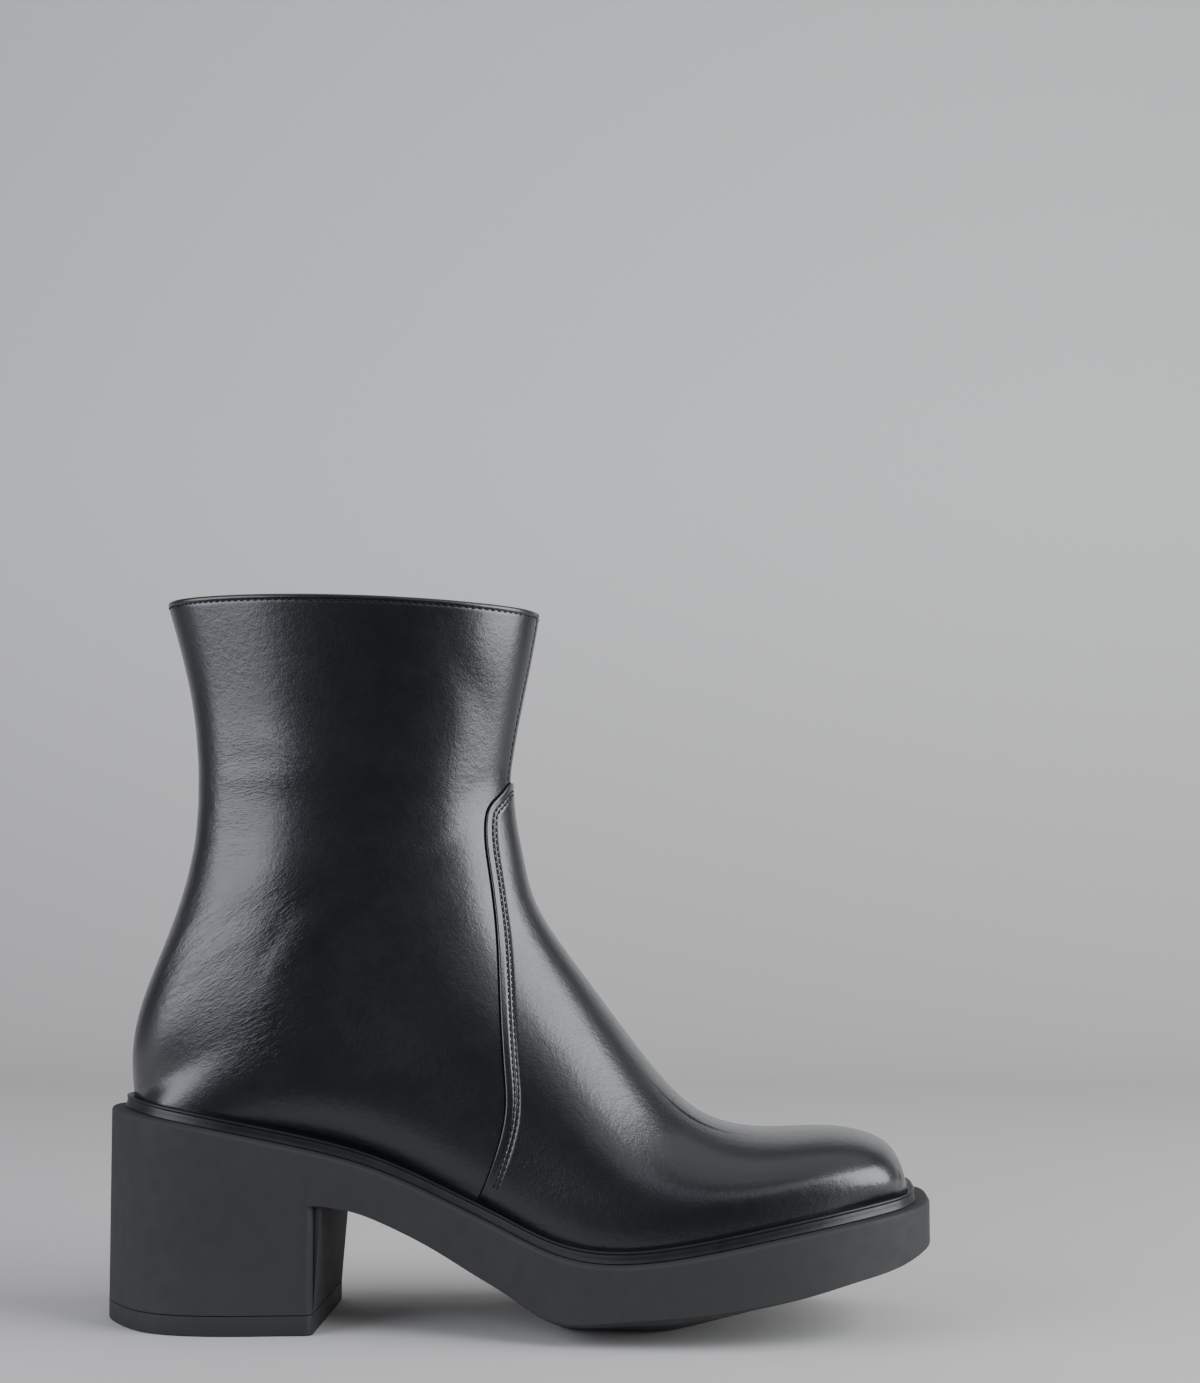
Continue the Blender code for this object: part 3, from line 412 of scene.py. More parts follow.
def finish(name, fixed, layers):
    # A material from its fixed values and its layers. Each layer: what it drives, the
    # pattern's size in mm, its detail, and the value at its low and high end, which is a
    # colour, a roughness or a height in mm; then, where it isn't usual noise, its kind
    # and roughness. Pores are cells, smoothed by their detail and read up to the distance
    # that stands for the roughness; a weave is diagonal bands, bent by it.
    surface = bpy.data.materials.new(name)
    surface.use_nodes = True
    tree = surface.node_tree
    shader = tree.nodes["Principled BSDF"]
    for socket, value in fixed.items():
        shader.inputs[socket].default_value = value
    place = addNode(tree, "ShaderNodeTexCoord").outputs["Object"]
    normal = None
    for use, sizeMm, detail, low, high, *more in layers:
        kind, rough = more or ("noise", 0.55)
        scale = 1.0 / (sizeMm * mm)
        reads = (0.0, 1.0)
        if kind == "noise":
            reads = (0.3, 0.7)
            value = addNode(tree, "ShaderNodeTexNoise",
                            {"Scale": scale, "Detail": detail, "Roughness": rough},
                            {"Vector": place}).outputs["Fac"]
        elif kind == "pores":
            smooth = {"feature": "SMOOTH_F1", "Smoothness": detail} if detail else {}
            cells = addNode(tree, "ShaderNodeTexVoronoi", {**smooth, "Scale": scale},
                            {"Vector": place})
            value = addNode(tree, "ShaderNodeMapRange", {"From Max": rough},
                            {"Value": cells.outputs["Distance"]}).outputs["Result"]
        else:
            value = addNode(tree, "ShaderNodeTexWave",
                            {"wave_type": "BANDS", "bands_direction": "DIAGONAL",
                             "Scale": 0.5 * scale / math.pi, "Distortion": rough,
                             "Detail": detail}, {"Vector": place}).outputs["Fac"]
        if use == "tint":
            mixed = addNode(tree, "ShaderNodeMix",
                            {"data_type": "RGBA", 6: colour(low), 7: colour(high)}, {0: value})
            tree.links.new(mixed.outputs[2], shader.inputs["Base Color"])
        elif use == "gloss":
            gloss = addNode(tree, "ShaderNodeMapRange",
                            {"From Min": reads[0], "From Max": reads[1], "To Min": low,
                             "To Max": high}, {"Value": value})
            tree.links.new(gloss.outputs["Result"], shader.inputs["Roughness"])
        else:
            normal = addNode(tree, "ShaderNodeBump", {"Distance": (high - low) * mm},
                             {"Height": value, **({"Normal": normal} if normal else {})})
            normal = normal.outputs["Normal"]
            tree.links.new(normal, shader.inputs["Normal"])
    return surface, tree, shader, place, normal


calf = {
    "dark": "#08090d",
    "light": "#0f1016",
    "roughness": (0.32, 0.42),
    "grain": (0.75, 0.02),  # size and depth of the pores, then of the pebbling
    "pebble": (2.4, 0.09),
    # loose, finely wrinkled places: x, z, radius, slant in degrees, depth
    "looseGrain": [(-98.0, 116.0, 34.0, 35.0, 0.050), (-82.0, 98.0, 34.0, 28.0, 0.030),
                   (-86.0, 168.0, 22.0, 6.0, 0.038), (-88.0, 148.0, 18.0, 3.0, 0.036),
                   (-68.0, 172.0, 18.0, -20.0, 0.035), (-74.0, 124.0, 24.0, 42.0, 0.036)],
    "wrinkleMm": (1.3, 6.0),
    "wrinkleTop": 0.14,  # the noise is cut off here, which leaves narrow lines
}


def calfLeather():
    # Black box calf: chrome tanned, plated and glazed. Very dark with a broad soft
    # gloss, fine pores and pebbling, and faint wrinkles where the skin was loose.
    surface, tree, shader, place, normal = finish("black_box_calf", {
        "IOR": 1.5, "Coat Weight": 0.85, "Coat Roughness": 0.27, "Specular IOR Level": 0.38}, [
            ("tint", 30.0, 3.0, calf["dark"], calf["light"]),
            ("gloss", 9.0, 5.0, *calf["roughness"], "noise", 0.65),
            ("grain", calf["grain"][0], 0.6, 0.0, calf["grain"][1], "pores", 1.0),
            ("grain", calf["pebble"][0], 4.0, 0.0, calf["pebble"][1], "noise", 0.62)])
    across, along = calf["wrinkleMm"]
    flat = addNode(tree, "ShaderNodeVectorMath",
                   {"operation": "MULTIPLY", 1: (1.0, 0.0, 1.0)}, {0: place}).outputs[0]
    for x, z, radius, slant, depth in calf["looseGrain"]:
        centre = ((x + bootMiddle[0]) * mm, 0.0, (z + bootMiddle[2]) * mm)
        far = addNode(tree, "ShaderNodeVectorMath", {"operation": "DISTANCE", 1: centre},
                      {0: flat}).outputs["Value"]
        mask = addNode(tree, "ShaderNodeMapRange",
                       {"interpolation_type": "SMOOTHSTEP", "From Min": radius * mm,
                        "From Max": radius * 0.25 * mm}, {"Value": far}).outputs["Result"]
        turned = addNode(tree, "ShaderNodeMapping",
                         {"vector_type": "TEXTURE", "Rotation": (0.0, -math.radians(slant), 0.0),
                          "Scale": (along * mm, along * mm, across * mm)},
                         {"Vector": place}).outputs["Vector"]
        fold = addNode(tree, "ShaderNodeTexNoise",
                       {"Scale": 1.0, "Detail": 3.0, "Roughness": 0.6, "Distortion": 0.6},
                       {"Vector": turned}).outputs["Fac"]
        for operation, value in (("SUBTRACT", 0.5), ("ABSOLUTE", 0.0),
                                 ("MINIMUM", calf["wrinkleTop"])):
            fold = addNode(tree, "ShaderNodeMath", {"operation": operation, 1: value},
                           {0: fold}).outputs[0]
        height = addNode(tree, "ShaderNodeMath", {"operation": "MULTIPLY"}, {0: fold, 1: mask})
        normal = addNode(tree, "ShaderNodeBump", {"Distance": depth / calf["wrinkleTop"] * mm},
                         {"Height": height.outputs[0], "Normal": normal}).outputs["Normal"]
    tree.links.new(normal, shader.inputs["Normal"])
    tree.links.new(normal, shader.inputs["Coat Normal"])
    return surface


def mouldedRubber(name, dark, light, roughness, grainDepth):
    # Moulded rubber from a finely blasted tool: matte, evenly grey, with a faint grain
    # and a little cloudiness from handling.
    return finish(name, {"IOR": 1.52, "Specular IOR Level": 0.4}, [
        ("tint", 22.0, 4.0, dark, light), ("gloss", 5.0, 4.0, roughness - 0.05, roughness + 0.05),
        ("grain", 0.5, 2.0, 0.0, grainDepth), ("grain", 4.0, 3.0, 0.0, 0.02)])[0]


calfSurface = calfLeather()
soleSurface = mouldedRubber("matte_moulded_rubber", "#252526", "#2a2a2b", 0.76, 0.02)
topPieceSurface = mouldedRubber("matte_hard_rubber", "#232324", "#282829", 0.72, 0.015)
randSurface = mouldedRubber("satin_rand_rubber", "#111113", "#161618", 0.42, 0.008)
# undyed pigskin: matte and warm, with open pores
liningSurface = finish("tan_lining_leather", {"IOR": 1.45}, [
    ("tint", 12.0, 4.0, "#6f6353", "#7f725f"), ("gloss", 3.0, 3.0, 0.55, 0.72),
    ("grain", 1.3, 0.0, 0.0, 0.05, "pores", 0.3), ("grain", 1.0, 3.0, 0.0, 0.03)])[0]
# cut edge of the leather, sanded and given edge dye: flat black, with its fibres just showing.
# The same flat black also lies on a thin strip of the quarters beside the vamp's edge, as painted
# shade of the groove there
edgeDyeAndShadeSurface = finish("black_edge_dye_and_groove_shade", {
    "Base Color": colour("#060607"), "Specular IOR Level": 0.15}, [
        ("gloss", 0.8, 3.0, 0.75, 0.95), ("grain", 0.3, 3.0, 0.0, 0.03)])[0]
# bonded polyester thread: black with a soft sheen
threadSurface = finish("black_bonded_thread", {
    "Base Color": colour("#0e0e10"), "Specular IOR Level": 0.3}, [
        ("gloss", 0.6, 3.0, 0.5, 0.66), ("grain", 0.35, 3.0, 0.0, 0.06)])[0]
# polyester zip tape: a close herringbone weave, drawn at 0.6 mm so that it shows
tapeSurface = finish("black_zip_tape", {"Sheen Weight": 0.25, "Sheen Roughness": 0.5}, [
    ("tint", 0.6, 1.0, "#0d0d0f", "#1c1c20", "weave", 0.6),
    ("gloss", 0.6, 1.0, 0.85, 0.7, "weave", 0.6), ("grain", 0.6, 1.0, 0.0, 0.08, "weave", 0.6)])[0]
# moulded acetal: slightly waxy black plastic
teethSurface = finish("black_acetal", {"Base Color": colour("#121214"), "IOR": 1.48}, [
    ("gloss", 2.0, 3.0, 0.3, 0.42), ("grain", 0.4, 3.0, 0.0, 0.01)])[0]
# die-cast zinc, barrel polished and nickel plated: bright with tumbling marks
nickelSurface = finish("nickel_plated_zinc", {"Metallic": 1.0}, [
    ("tint", 3.0, 3.0, "#a9a9ab", "#b9b9ba"), ("gloss", 0.8, 5.0, 0.2, 0.36),
    ("grain", 0.7, 4.0, 0.0, 0.008)])[0]
print("materials made:", len(bpy.data.materials))

# Upper

seam = {
    # edge of the vamp over the quarters in the side view: height, x
    "line": [(36.0, -10.6), (45.0, -6.3), (55.8, -2.3), (67.6, 0.2), (79.4, -0.3),
             (99.1, -2.0), (119.0, -3.6), (139.0, -6.4), (149.2, -7.9), (155.4, -8.0),
             (160.0, -6.6), (163.8, -3.5), (167.2, -0.8), (172.0, 12.0)],
    "step": 0.9,  # the vamp stands this much over the quarters
    "fade": 9.0,
    "stepFrom": 3.0,  # height above the rand at which the step has its full depth
    "stitchFrom": 2.0,  # height above the rand at which the stitches begin to show
    "stitchOver": 10.0,
    "tuck": 0.08,  # the cut edge reaches this far into the quarters
    "roundEdge": 0.45,
    "rows": (2.2, 3.4),  # two stitch rows, from the edge
    "rowDepth": 0.32,
    "rowWidth": 0.42,
    "dyeAndShadeReach": 0.6,  # reach of the edge dye, and of the painted groove shade on the quarters, from the foot of the cut edge
    # rows of the vamp and of the quarters, by their distance from the edge
    "evenRows": 118,
    "vampRows": [6.0, 5.2, 4.6, 4.2, 3.9, 3.65, 3.4, 3.15, 2.95, 2.8, 2.6, 2.4, 2.2, 2.0, 1.8,
                 1.55, 1.3, 1.0, 0.75, 0.5, 0.25],
    "underRows": [3.0, 1.5, 0.6],
    "quarterRows": [0.3, 0.6, 1.0, 1.5, 2.2, 3.2, 4.5, 6.0],
}
frontSeam = {
    "edge": 2.6,  # lapped edge, to the outer side of the middle
    "stitchRow": 4.8,
    "step": 0.55,
    "fade": 6.0,
    "dent": 0.7,  # its stitches' dents and the collar's, as a share of the vamp's
    "outerColumns": 92,
    "outerCrowding": 1.1,
    "innerColumns": 103,
    # columns beside the lap, by their distance from the ridge
    "columns": [8.0, 7.2, 6.4, 5.8, 5.4, 5.1, 4.8, 4.5, 4.2, 3.8, 3.4, 3.1, 2.9, 2.75, 2.6,
                2.45, 2.3, 2.0, 1.5, 0.8, 0.0],
}
collar = {
    "fold": 1.0,  # radius of the folded top edge
    "stitchBelow": 1.8,
    "sheet": 0.95,
    "slack": 0.1,  # the sheet's inside lies this much deeper, clear of the folds
    "returnSheet": 0.85,
    "core": 0.08,  # radius of the gap inside the fold
    "lowRows": 84,
    "highRows": 58,
    # rows under the fold and inside it, by their distance from the top
    "rows": [6.0, 4.6, 3.6, 3.0, 2.6, 2.3, 2.0, 1.8, 1.6, 1.35, 1.0],
    "returnRows": [1.6, 2.6, 4.6, 6.0],
}
skirtDrop = np.array([1.9, 3.5])  # the leather runs down behind the rand
heelFan = 1.8  # rows between the heel's corner and the row where foot and shaft meet
# soft troughs and ridges of the worn skin, placed in the side view:
# side, x, z, slant in degrees, half length, half width, height
creases = [
    # broad swells of the outer side
    (-1.0, -60.0, 172.0, 0.0, 20.0, 10.0, 0.7), (-1.0, -70.0, 106.0, 75.0, 24.0, 12.0, 0.9),
    (-1.0, -74.0, 137.0, 8.0, 16.0, 7.0, 0.5), (-1.0, -20.0, 158.0, 80.0, 20.0, 10.0, 0.5),
    # folds at the ankle's back and over the heel
    (-1.0, -84.0, 174.0, 6.0, 20.0, 3.0, -0.14), (-1.0, -80.0, 168.5, 3.0, 17.0, 2.6, 0.12),
    (-1.0, -88.0, 163.0, -2.0, 15.0, 2.4, -0.12), (-1.0, -88.0, 150.5, 3.0, 13.0, 1.9, -0.16),
    (-1.0, -88.0, 147.0, 3.0, 12.0, 1.8, 0.14), (-1.0, -66.0, 176.0, -26.0, 12.0, 3.0, 0.2),
    (-1.0, -98.0, 124.0, 36.0, 15.0, 2.6, 0.14), (-1.0, -95.0, 119.0, 35.0, 17.0, 2.4, -0.16),
    (-1.0, -90.0, 114.0, 32.0, 17.0, 2.4, 0.14), (-1.0, -96.0, 107.0, 38.0, 14.0, 2.4, -0.14),
    (-1.0, -72.0, 118.0, 60.0, 14.0, 3.0, -0.2), (-1.0, -62.0, 126.0, -30.0, 12.0, 3.4, 0.2),
    (-1.0, -12.0, 196.0, -70.0, 14.0, 5.0, -0.25),
    (1.0, -84.0, 160.0, 5.0, 18.0, 3.6, -0.3), (1.0, -92.0, 118.0, 33.0, 18.0, 4.2, 0.3),
    (1.0, -22.0, 140.0, 60.0, 14.0, 4.0, -0.3), (1.0, -94.0, 104.0, 36.0, 16.0, 4.0, -0.3),
]
sideSpans = 108
ridgeCrowding = 1.25


def dyeAndShadeAlong(mesh, line, reach):
    # Gives the faces within reach of a line the flat black of the edge dye, which on the quarters
    # beside the vamp's edge is painted shade of the groove.
    middles = np.empty(len(mesh.polygons) * 3)
    mesh.polygons.foreach_get("center", middles)
    middles = middles.reshape(-1, 3) / mm - bootMiddle
    near = np.flatnonzero(np.all((middles > line.min(0) - 1.0) & (middles < line.max(0) + 1.0), 1))
    index = np.zeros(len(middles), np.int32)
    blocks = np.array_split(middles[near], max(1, len(near) // 400))
    far = np.concatenate([lineDistance(block[None], line)[0] for block in blocks])
    index[near] = far < reach
    mesh.materials.append(edgeDyeAndShadeSurface)
    mesh.polygons.foreach_set("material_index", index)


def bothSides(spans=sideSpans):
    # Shares and sides of the columns from the outer feather line over the ridge.
    share = 1.0 - (1.0 - np.linspace(0.0, 1.0, spans + 1)) ** ridgeCrowding
    shares = np.concatenate([share, share[::-1][1:]])
    return shares, np.concatenate([-np.ones(spans + 1), np.ones(spans)])


def seamRows(shareAt, side):
    # Row at which each column crosses the vamp's edge, by where its x passes the line.
    row = np.linspace(heelRow * 0.4, collarRow - 1.0, 420)[None, :]
    sides = np.broadcast_to(side[:, None], (len(side), row.shape[1]))
    rows = np.broadcast_to(row, sides.shape)
    points = lastPoint(rows, shareAt(rows), sides)
    line = np.array(seam["line"])
    z = np.clip(points[..., 2], line[0, 0], line[-1, 0])
    ahead = points[..., 0] - tableLine(seam["line"], 1, z)
    crossed = np.argmax(ahead < 0.0, axis=1)
    index = np.arange(len(side))
    part = ahead[index, crossed - 1] / (ahead[index, crossed - 1] - ahead[index, crossed])
    return rows[index, crossed - 1] + part * (row[0, 1] - row[0, 0])


def lineDistance(points, line):
    # Distance of every point of a grid to a line of points, a row of the grid at a time.
    step = line[1:] - line[:-1]
    size = np.sum(step ** 2, axis=1)
    found = np.empty(points.shape[:-1])
    for i, row in enumerate(points):
        offset = row[:, None] - line[None, :-1]
        part = np.clip(np.sum(offset * step, axis=-1) / size, 0.0, 1.0)
        found[i] = np.linalg.norm(offset - part[..., None] * step, axis=-1).min(axis=1)
    return found


def seamPoints(edge, shareAt, side):
    # The vamp's edge on the last, a point for each column.
    return lastPoint(edge, shareAt(edge[:, None])[:, 0], side)


def rowsBeside(edge, shareAt, side, wanted, toward):
    # Rows at which each column lies the wanted distances from the vamp's edge: before
    # it where toward is -1, after it where it is 1.
    rows = edge[:, None] + toward * np.linspace(0.0, 3.2, 260)[None, :]
    points = lastPoint(rows, shareAt(rows), np.broadcast_to(side[:, None], rows.shape))
    far = lineDistance(points, seamPoints(edge, shareAt, side))
    index = np.arange(len(edge))
    found = []
    for place in wanted:
        k = np.maximum(np.argmax(far >= place, axis=1), 1)
        part = (place - far[index, k - 1]) / (far[index, k] - far[index, k - 1])
        found.append(rows[index, k - 1] + part * (rows[index, k] - rows[index, k - 1]))
    return np.stack(found, axis=1)


def crestAndTrough(points):
    # Sum of the soft troughs and ridges: each is a bell across and along its own axis.
    height = np.zeros(points.shape[:-1])
    for side, x, z, slant, halfLength, halfWidth, lift in creases:
        dx = points[..., 0] - x
        dz = points[..., 2] - z
        turn = math.radians(slant)
        along = dx * math.cos(turn) + dz * math.sin(turn)
        across = dz * math.cos(turn) - dx * math.sin(turn) + 0.02 * along ** 2 / halfWidth
        bell = np.exp(-(along / halfLength) ** 2 - (across / halfWidth) ** 2)
        height += lift * bell * np.clip(side * points[..., 1] / 6.0, 0.0, 1.0)
    return height


def stitchGroove(distance, rows):
    # Narrow dents where the thread pulls the leather down.
    depth = np.zeros_like(distance)
    for place in rows:
        depth -= seam["rowDepth"] * np.exp(-((distance - place) / seam["rowWidth"]) ** 2)
    return depth


def skirted(grid, heelIndex):
    # Two more columns at each side, which carry the leather down behind the rand.
    low = (np.arange(len(grid)) <= heelIndex)[:, None]
    left = np.repeat(grid[:, :1], 2, axis=1)
    right = np.repeat(grid[:, -1:], 2, axis=1)
    left[..., 2] -= skirtDrop[::-1] * low
    right[..., 2] -= skirtDrop * low
    return np.concatenate([left, grid, right], axis=1)


def addSheet(name, outer, inner, heelIndex, surface, replaced=()):
    # A sheet of leather between two grids, joined along their borders. Its sides are
    # open, and carried down, up to the heel's row.
    points = np.concatenate([skirted(grid, heelIndex).reshape(-1, 3) for grid in (outer, inner)])
    faces = shellFaces(len(outer), outer.shape[1] + 2 * len(skirtDrop), heelIndex)
    return addPiece(name, addMesh(name, points, faces), surface, replaced=replaced)


def lastGrid(path, shareAt, side):
    # Grid of points on the last: rows along the path, columns across it.
    sides = np.broadcast_to(side[:, None], path.shape)
    return lastPoint(path, shareAt(path), sides).transpose(1, 0, 2)


def settledNormals(grid, heelIndex=None):
    # Grid normals, with one shared normal up the back line.
    normal = gridNormals(grid)
    if heelIndex is not None:
        normal[heelIndex:, 0, 1] = 0.0
        normal[heelIndex:, -1, 1] = 0.0
    return unit(normal)


def vampPiece():
    # The vamp: last surface from the toe to its edge, raised towards the edge, dented
    # along two stitch rows and rolled over at the edge.
    shares, side = bothSides()

    def shareAt(rows):
        return np.broadcast_to(shares[:, None], rows.shape)

    edge = seamRows(shareAt, side)
    near = np.array(seam["vampRows"])
    beside = rowsBeside(edge, shareAt, side, near, -1.0)
    general = beside[:, :1] * np.linspace(0.0, 1.0, seam["evenRows"])[None, :]
    path = np.concatenate([general[:, :-1], beside, edge[:, None]], axis=1)
    grid = lastGrid(path, shareAt, side)
    grid[0] = last["toeX"] - last["upperInset"], 0.0, grid[0, 0, 2]
    normal = settledNormals(grid)
    normal[0] = 1.0, 0.0, 0.0
    distance = lineDistance(grid, seamPoints(edge, shareAt, side))
    away = grid[..., 2] - ledgeZ(grid[..., 0]) - last["feather"]
    rise = np.exp(-distance / seam["fade"]) * seam["step"] / 2.0
    shown = np.clip((away - seam["stitchFrom"]) / seam["stitchOver"], 0.0, 1.0)
    height = (rise * np.clip(away / seam["stepFrom"], 0.0, 1.0)
              + stitchGroove(distance, seam["rows"]) * shown + crestAndTrough(grid))
    outer = grid + normal * height[..., None]
    inner = grid + normal * (height - collar["sheet"])[..., None]
    away = unit(np.gradient(grid[-1], axis=0))
    ahead = unit(np.cross(normal[-1], away))
    ahead *= np.sign(np.sum(ahead * (grid[-1] - grid[-2]), axis=1, keepdims=True))
    turn = np.radians([22.0, 45.0, 67.0, 90.0])[:, None, None]
    radius = seam["roundEdge"]
    roll = outer[-1] + ahead * radius * np.sin(turn) - normal[-1] * radius * (1 - np.cos(turn))
    foot = grid[-1] + ahead * radius - normal[-1] * (seam["step"] / 2.0 + seam["tuck"])
    under = inner[-1] + ahead * radius * np.linspace(0.1, 0.5, 5)[:, None, None]
    piece = addSheet("vamp", np.concatenate([outer, roll, foot[None]]),
                     np.concatenate([inner, under]), len(outer) + len(roll), calfSurface,
                     ["upper"])
    dyeAndShadeAlong(piece.data, foot, seam["dyeAndShadeReach"])
    lines = []
    for place in seam["rows"]:
        i = int(np.argmin(np.abs(near - place))) + len(general[0]) - 1
        keep = shown[i] > 0.35
        lines.append((outer[i][keep], normal[i][keep]))
    return lines, foot


def quartersPiece():
    # The quarters: last surface from under the vamp to the heel and up to the collar,
    # sunk under the vamp, lapped down the front and folded over at the top.
    widths = np.array(frontSeam["columns"])
    spread = (1.0 - np.linspace(0.0, 1.0, frontSeam["outerColumns"]))
    spread = 1.0 - spread ** frontSeam["outerCrowding"]
    inner = 1.0 - (1.0 - np.linspace(0.0, 1.0, frontSeam["innerColumns"])) ** ridgeCrowding
    inner = inner[::-1][1:]
    count = len(spread) + len(widths) - 1 + len(inner)
    side = np.concatenate([-np.ones(len(spread) + len(widths) - 1), np.ones(len(inner))])

    def columnShares(rows):
        # outer side evenly to the lap's first line, then the lines beside the lap
        first = shareAtWidth(rows[:len(spread)], widths[0], -1.0) * spread[:, None]
        lap = shareAtWidth(rows[len(spread):len(spread) + len(widths) - 1],
                           widths[1:, None], -1.0)
        medial = np.broadcast_to(inner[:, None], (len(inner), rows.shape[1]))
        return np.concatenate([first, lap, medial])

    edge = seamRows(columnShares, side)
    ease = np.concatenate([spread, np.ones(len(widths) - 1), inner])
    middle = heelRow + heelFan * ease * ease * (3.0 - 2.0 * ease)
    under = rowsBeside(edge, columnShares, side, seam["underRows"], -1.0)
    beside = rowsBeside(edge, columnShares, side, seam["quarterRows"], 1.0)
    atSeam = np.concatenate([under, edge[:, None], beside], axis=1)
    top = np.full(count, float(collarRow))
    topRate = 0.02 / np.linalg.norm(
        lastPoint(top, columnShares(top[:, None])[:, 0], side)
        - lastPoint(top - 0.02, columnShares(top[:, None] - 0.02)[:, 0], side), axis=1)
    below = np.array(collar["rows"])
    atTop = collarRow - below[None, :] * topRate[:, None]
    lowPart = np.linspace(0.0, 1.0, collar["lowRows"])[None, :]
    highPart = np.linspace(0.0, 1.0, collar["highRows"])[None, :]
    lowRows = atSeam[:, -1:] + (middle[:, None] - atSeam[:, -1:]) * lowPart
    highRows = middle[:, None] + (atTop[:, :1] - middle[:, None]) * highPart
    path = np.concatenate([atSeam[:, :-1], lowRows, highRows[:, 1:-1], atTop], axis=1)
    grid = lastGrid(path, columnShares, side)
    heelIndex = atSeam.shape[1] - 1 + lowRows.shape[1] - 1
    normal = settledNormals(grid, heelIndex)
    distance = lineDistance(grid, seamPoints(edge, columnShares, side))
    distance[:under.shape[1]] = 0.0
    away = grid[..., 2] - ledgeZ(grid[..., 0]) - last["feather"]
    low = np.clip(away / seam["stepFrom"], 0.0, 1.0)
    low[heelIndex:] = 1.0
    height = -np.exp(-distance / seam["fade"]) * seam["step"] / 2.0 * low
    height += crestAndTrough(grid)
    fromTop = (collarRow - path.T) / topRate[None, :]
    height += stitchGroove(fromTop, [collar["stitchBelow"]]) * frontSeam["dent"]
    across = np.where(side < 0, -1.0, 1.0)[None, :] * np.abs(grid[..., 1])
    fromLap = across + frontSeam["edge"]
    onFront = np.zeros(count)
    onFront[len(spread) // 2:len(spread) + len(widths) - 1 + 50] = 1.0
    lap = np.where(fromLap <= 0.0, 1.0, -1.0) * np.exp(-np.abs(fromLap) / frontSeam["fade"])
    height += lap * onFront[None, :] * frontSeam["step"] / 2.0
    height -= onFront[None, :] * frontSeam["dent"] * seam["rowDepth"] * np.exp(
        -((across + frontSeam["stitchRow"]) / seam["rowWidth"]) ** 2)
    outer = grid + normal * height[..., None]
    innerSheet = grid - normal * (collar["sheet"] + collar["slack"])
    # folded top edge: a half circle over the wall's thickness, then down inside
    fold = collar["fold"]
    up = unit(grid[-1] - grid[-4])
    centre = outer[-1] - normal[-1] * fold
    turn = np.radians([20.0, 42.0, 66.0, 90.0, 114.0, 138.0, 160.0, 180.0])[:, None, None]
    roll = centre + fold * (normal[-1] * np.cos(turn) + up * np.sin(turn))
    core = centre + collar["core"] * (normal[-1] * np.cos(turn) + up * np.sin(turn))
    steps = [int(np.argmin(np.abs(below - d))) + len(path[0]) - len(below)
             for d in collar["returnRows"]]
    inside = np.stack([grid[i] - normal[i] * last["wall"] for i in steps])
    behind = np.stack([grid[i] - normal[i] * (last["wall"] - collar["returnSheet"]) for i in steps])
    outer = np.concatenate([outer, roll, inside])
    innerSheet = np.concatenate([innerSheet, core, behind])
    topLine = (outer[len(path[0]) - len(below) + 7], normal[-4])
    frontIndex = len(spread) + int(np.argmin(np.abs(widths[1:] - frontSeam["stitchRow"])))
    rows = slice(under.shape[1] + 4, len(path[0]) - 6)
    frontLine = (outer[rows, frontIndex], normal[rows, frontIndex])
    piece = addSheet("quarters", outer, innerSheet, heelIndex, calfSurface)
    # the quarters' strip beside the vamp's edge gets the flat black as painted shade of the groove
    # under the edge
    dyeAndShadeAlong(piece.data, seamFoot, seam["dyeAndShadeReach"])
    return piece, topLine, frontLine


liningSheet = {"columns": 56, "footRows": 95, "shaftRows": 40, "below": 0.19, "sheet": 0.8}


def liningPiece():
    # The lining: the same last, its face one wall inside, from the toe to just under
    # the leather's return at the collar.
    shares, side = bothSides(liningSheet["columns"])
    middle = (heelRow + heelFan * shares * shares * (3.0 - 2.0 * shares))[:, None]
    heelIndex = liningSheet["footRows"]
    top = collarRow - liningSheet["below"]
    foot = middle * np.linspace(0.0, 1.0, heelIndex + 1)
    shaft = middle + (top - middle) * np.linspace(0.0, 1.0, liningSheet["shaftRows"])[1:]
    path = np.concatenate([foot, shaft], axis=1)
    grid = lastGrid(path, lambda rows: np.broadcast_to(shares[:, None], rows.shape), side)
    grid[0] = last["toeX"] - last["upperInset"], 0.0, grid[0, 0, 2]
    normal = settledNormals(grid, heelIndex)
    normal[0] = 1.0, 0.0, 0.0
    back = grid - normal * (last["wall"] - liningSheet["sheet"])
    return addSheet("lining", back, grid - normal * last["wall"], heelIndex, liningSurface)


thread = {"pitch": 2.0, "collarPitch": 2.2, "half": (0.78, 0.32, 0.28), "lift": 0.06, "tip": 7.0}


def stitchPiece(name, lines, pitch):
    # Stitches as small balls drawn out along the line, tipped a little, in one mesh.
    places, frames = zip(*[evenPath(points, normals, pitch) for points, normals in lines])
    along, across, up = np.concatenate(frames).transpose(1, 0, 2)
    cos, sin = math.cos(math.radians(thread["tip"])), math.sin(math.radians(thread["tip"]))
    axes = np.stack([along * cos + across * sin, across * cos - along * sin, up], axis=1)
    points, faces = repeated(ballTemplate(), np.concatenate(places) + up * thread["lift"], axes,
                             thread["half"])
    addPiece(name, addMesh(name, points, faces, 80.0, 0.001), threadSurface)


vampLines, seamFoot = vampPiece()
quarters, collarLine, frontLine = quartersPiece()
lining = liningPiece()
stitchPiece("vamp_stitches", vampLines, thread["pitch"])
stitchPiece("collar_stitches", [collarLine], thread["collarPitch"])
stitchPiece("front_stitches", [frontLine], thread["collarPitch"])

# Sole

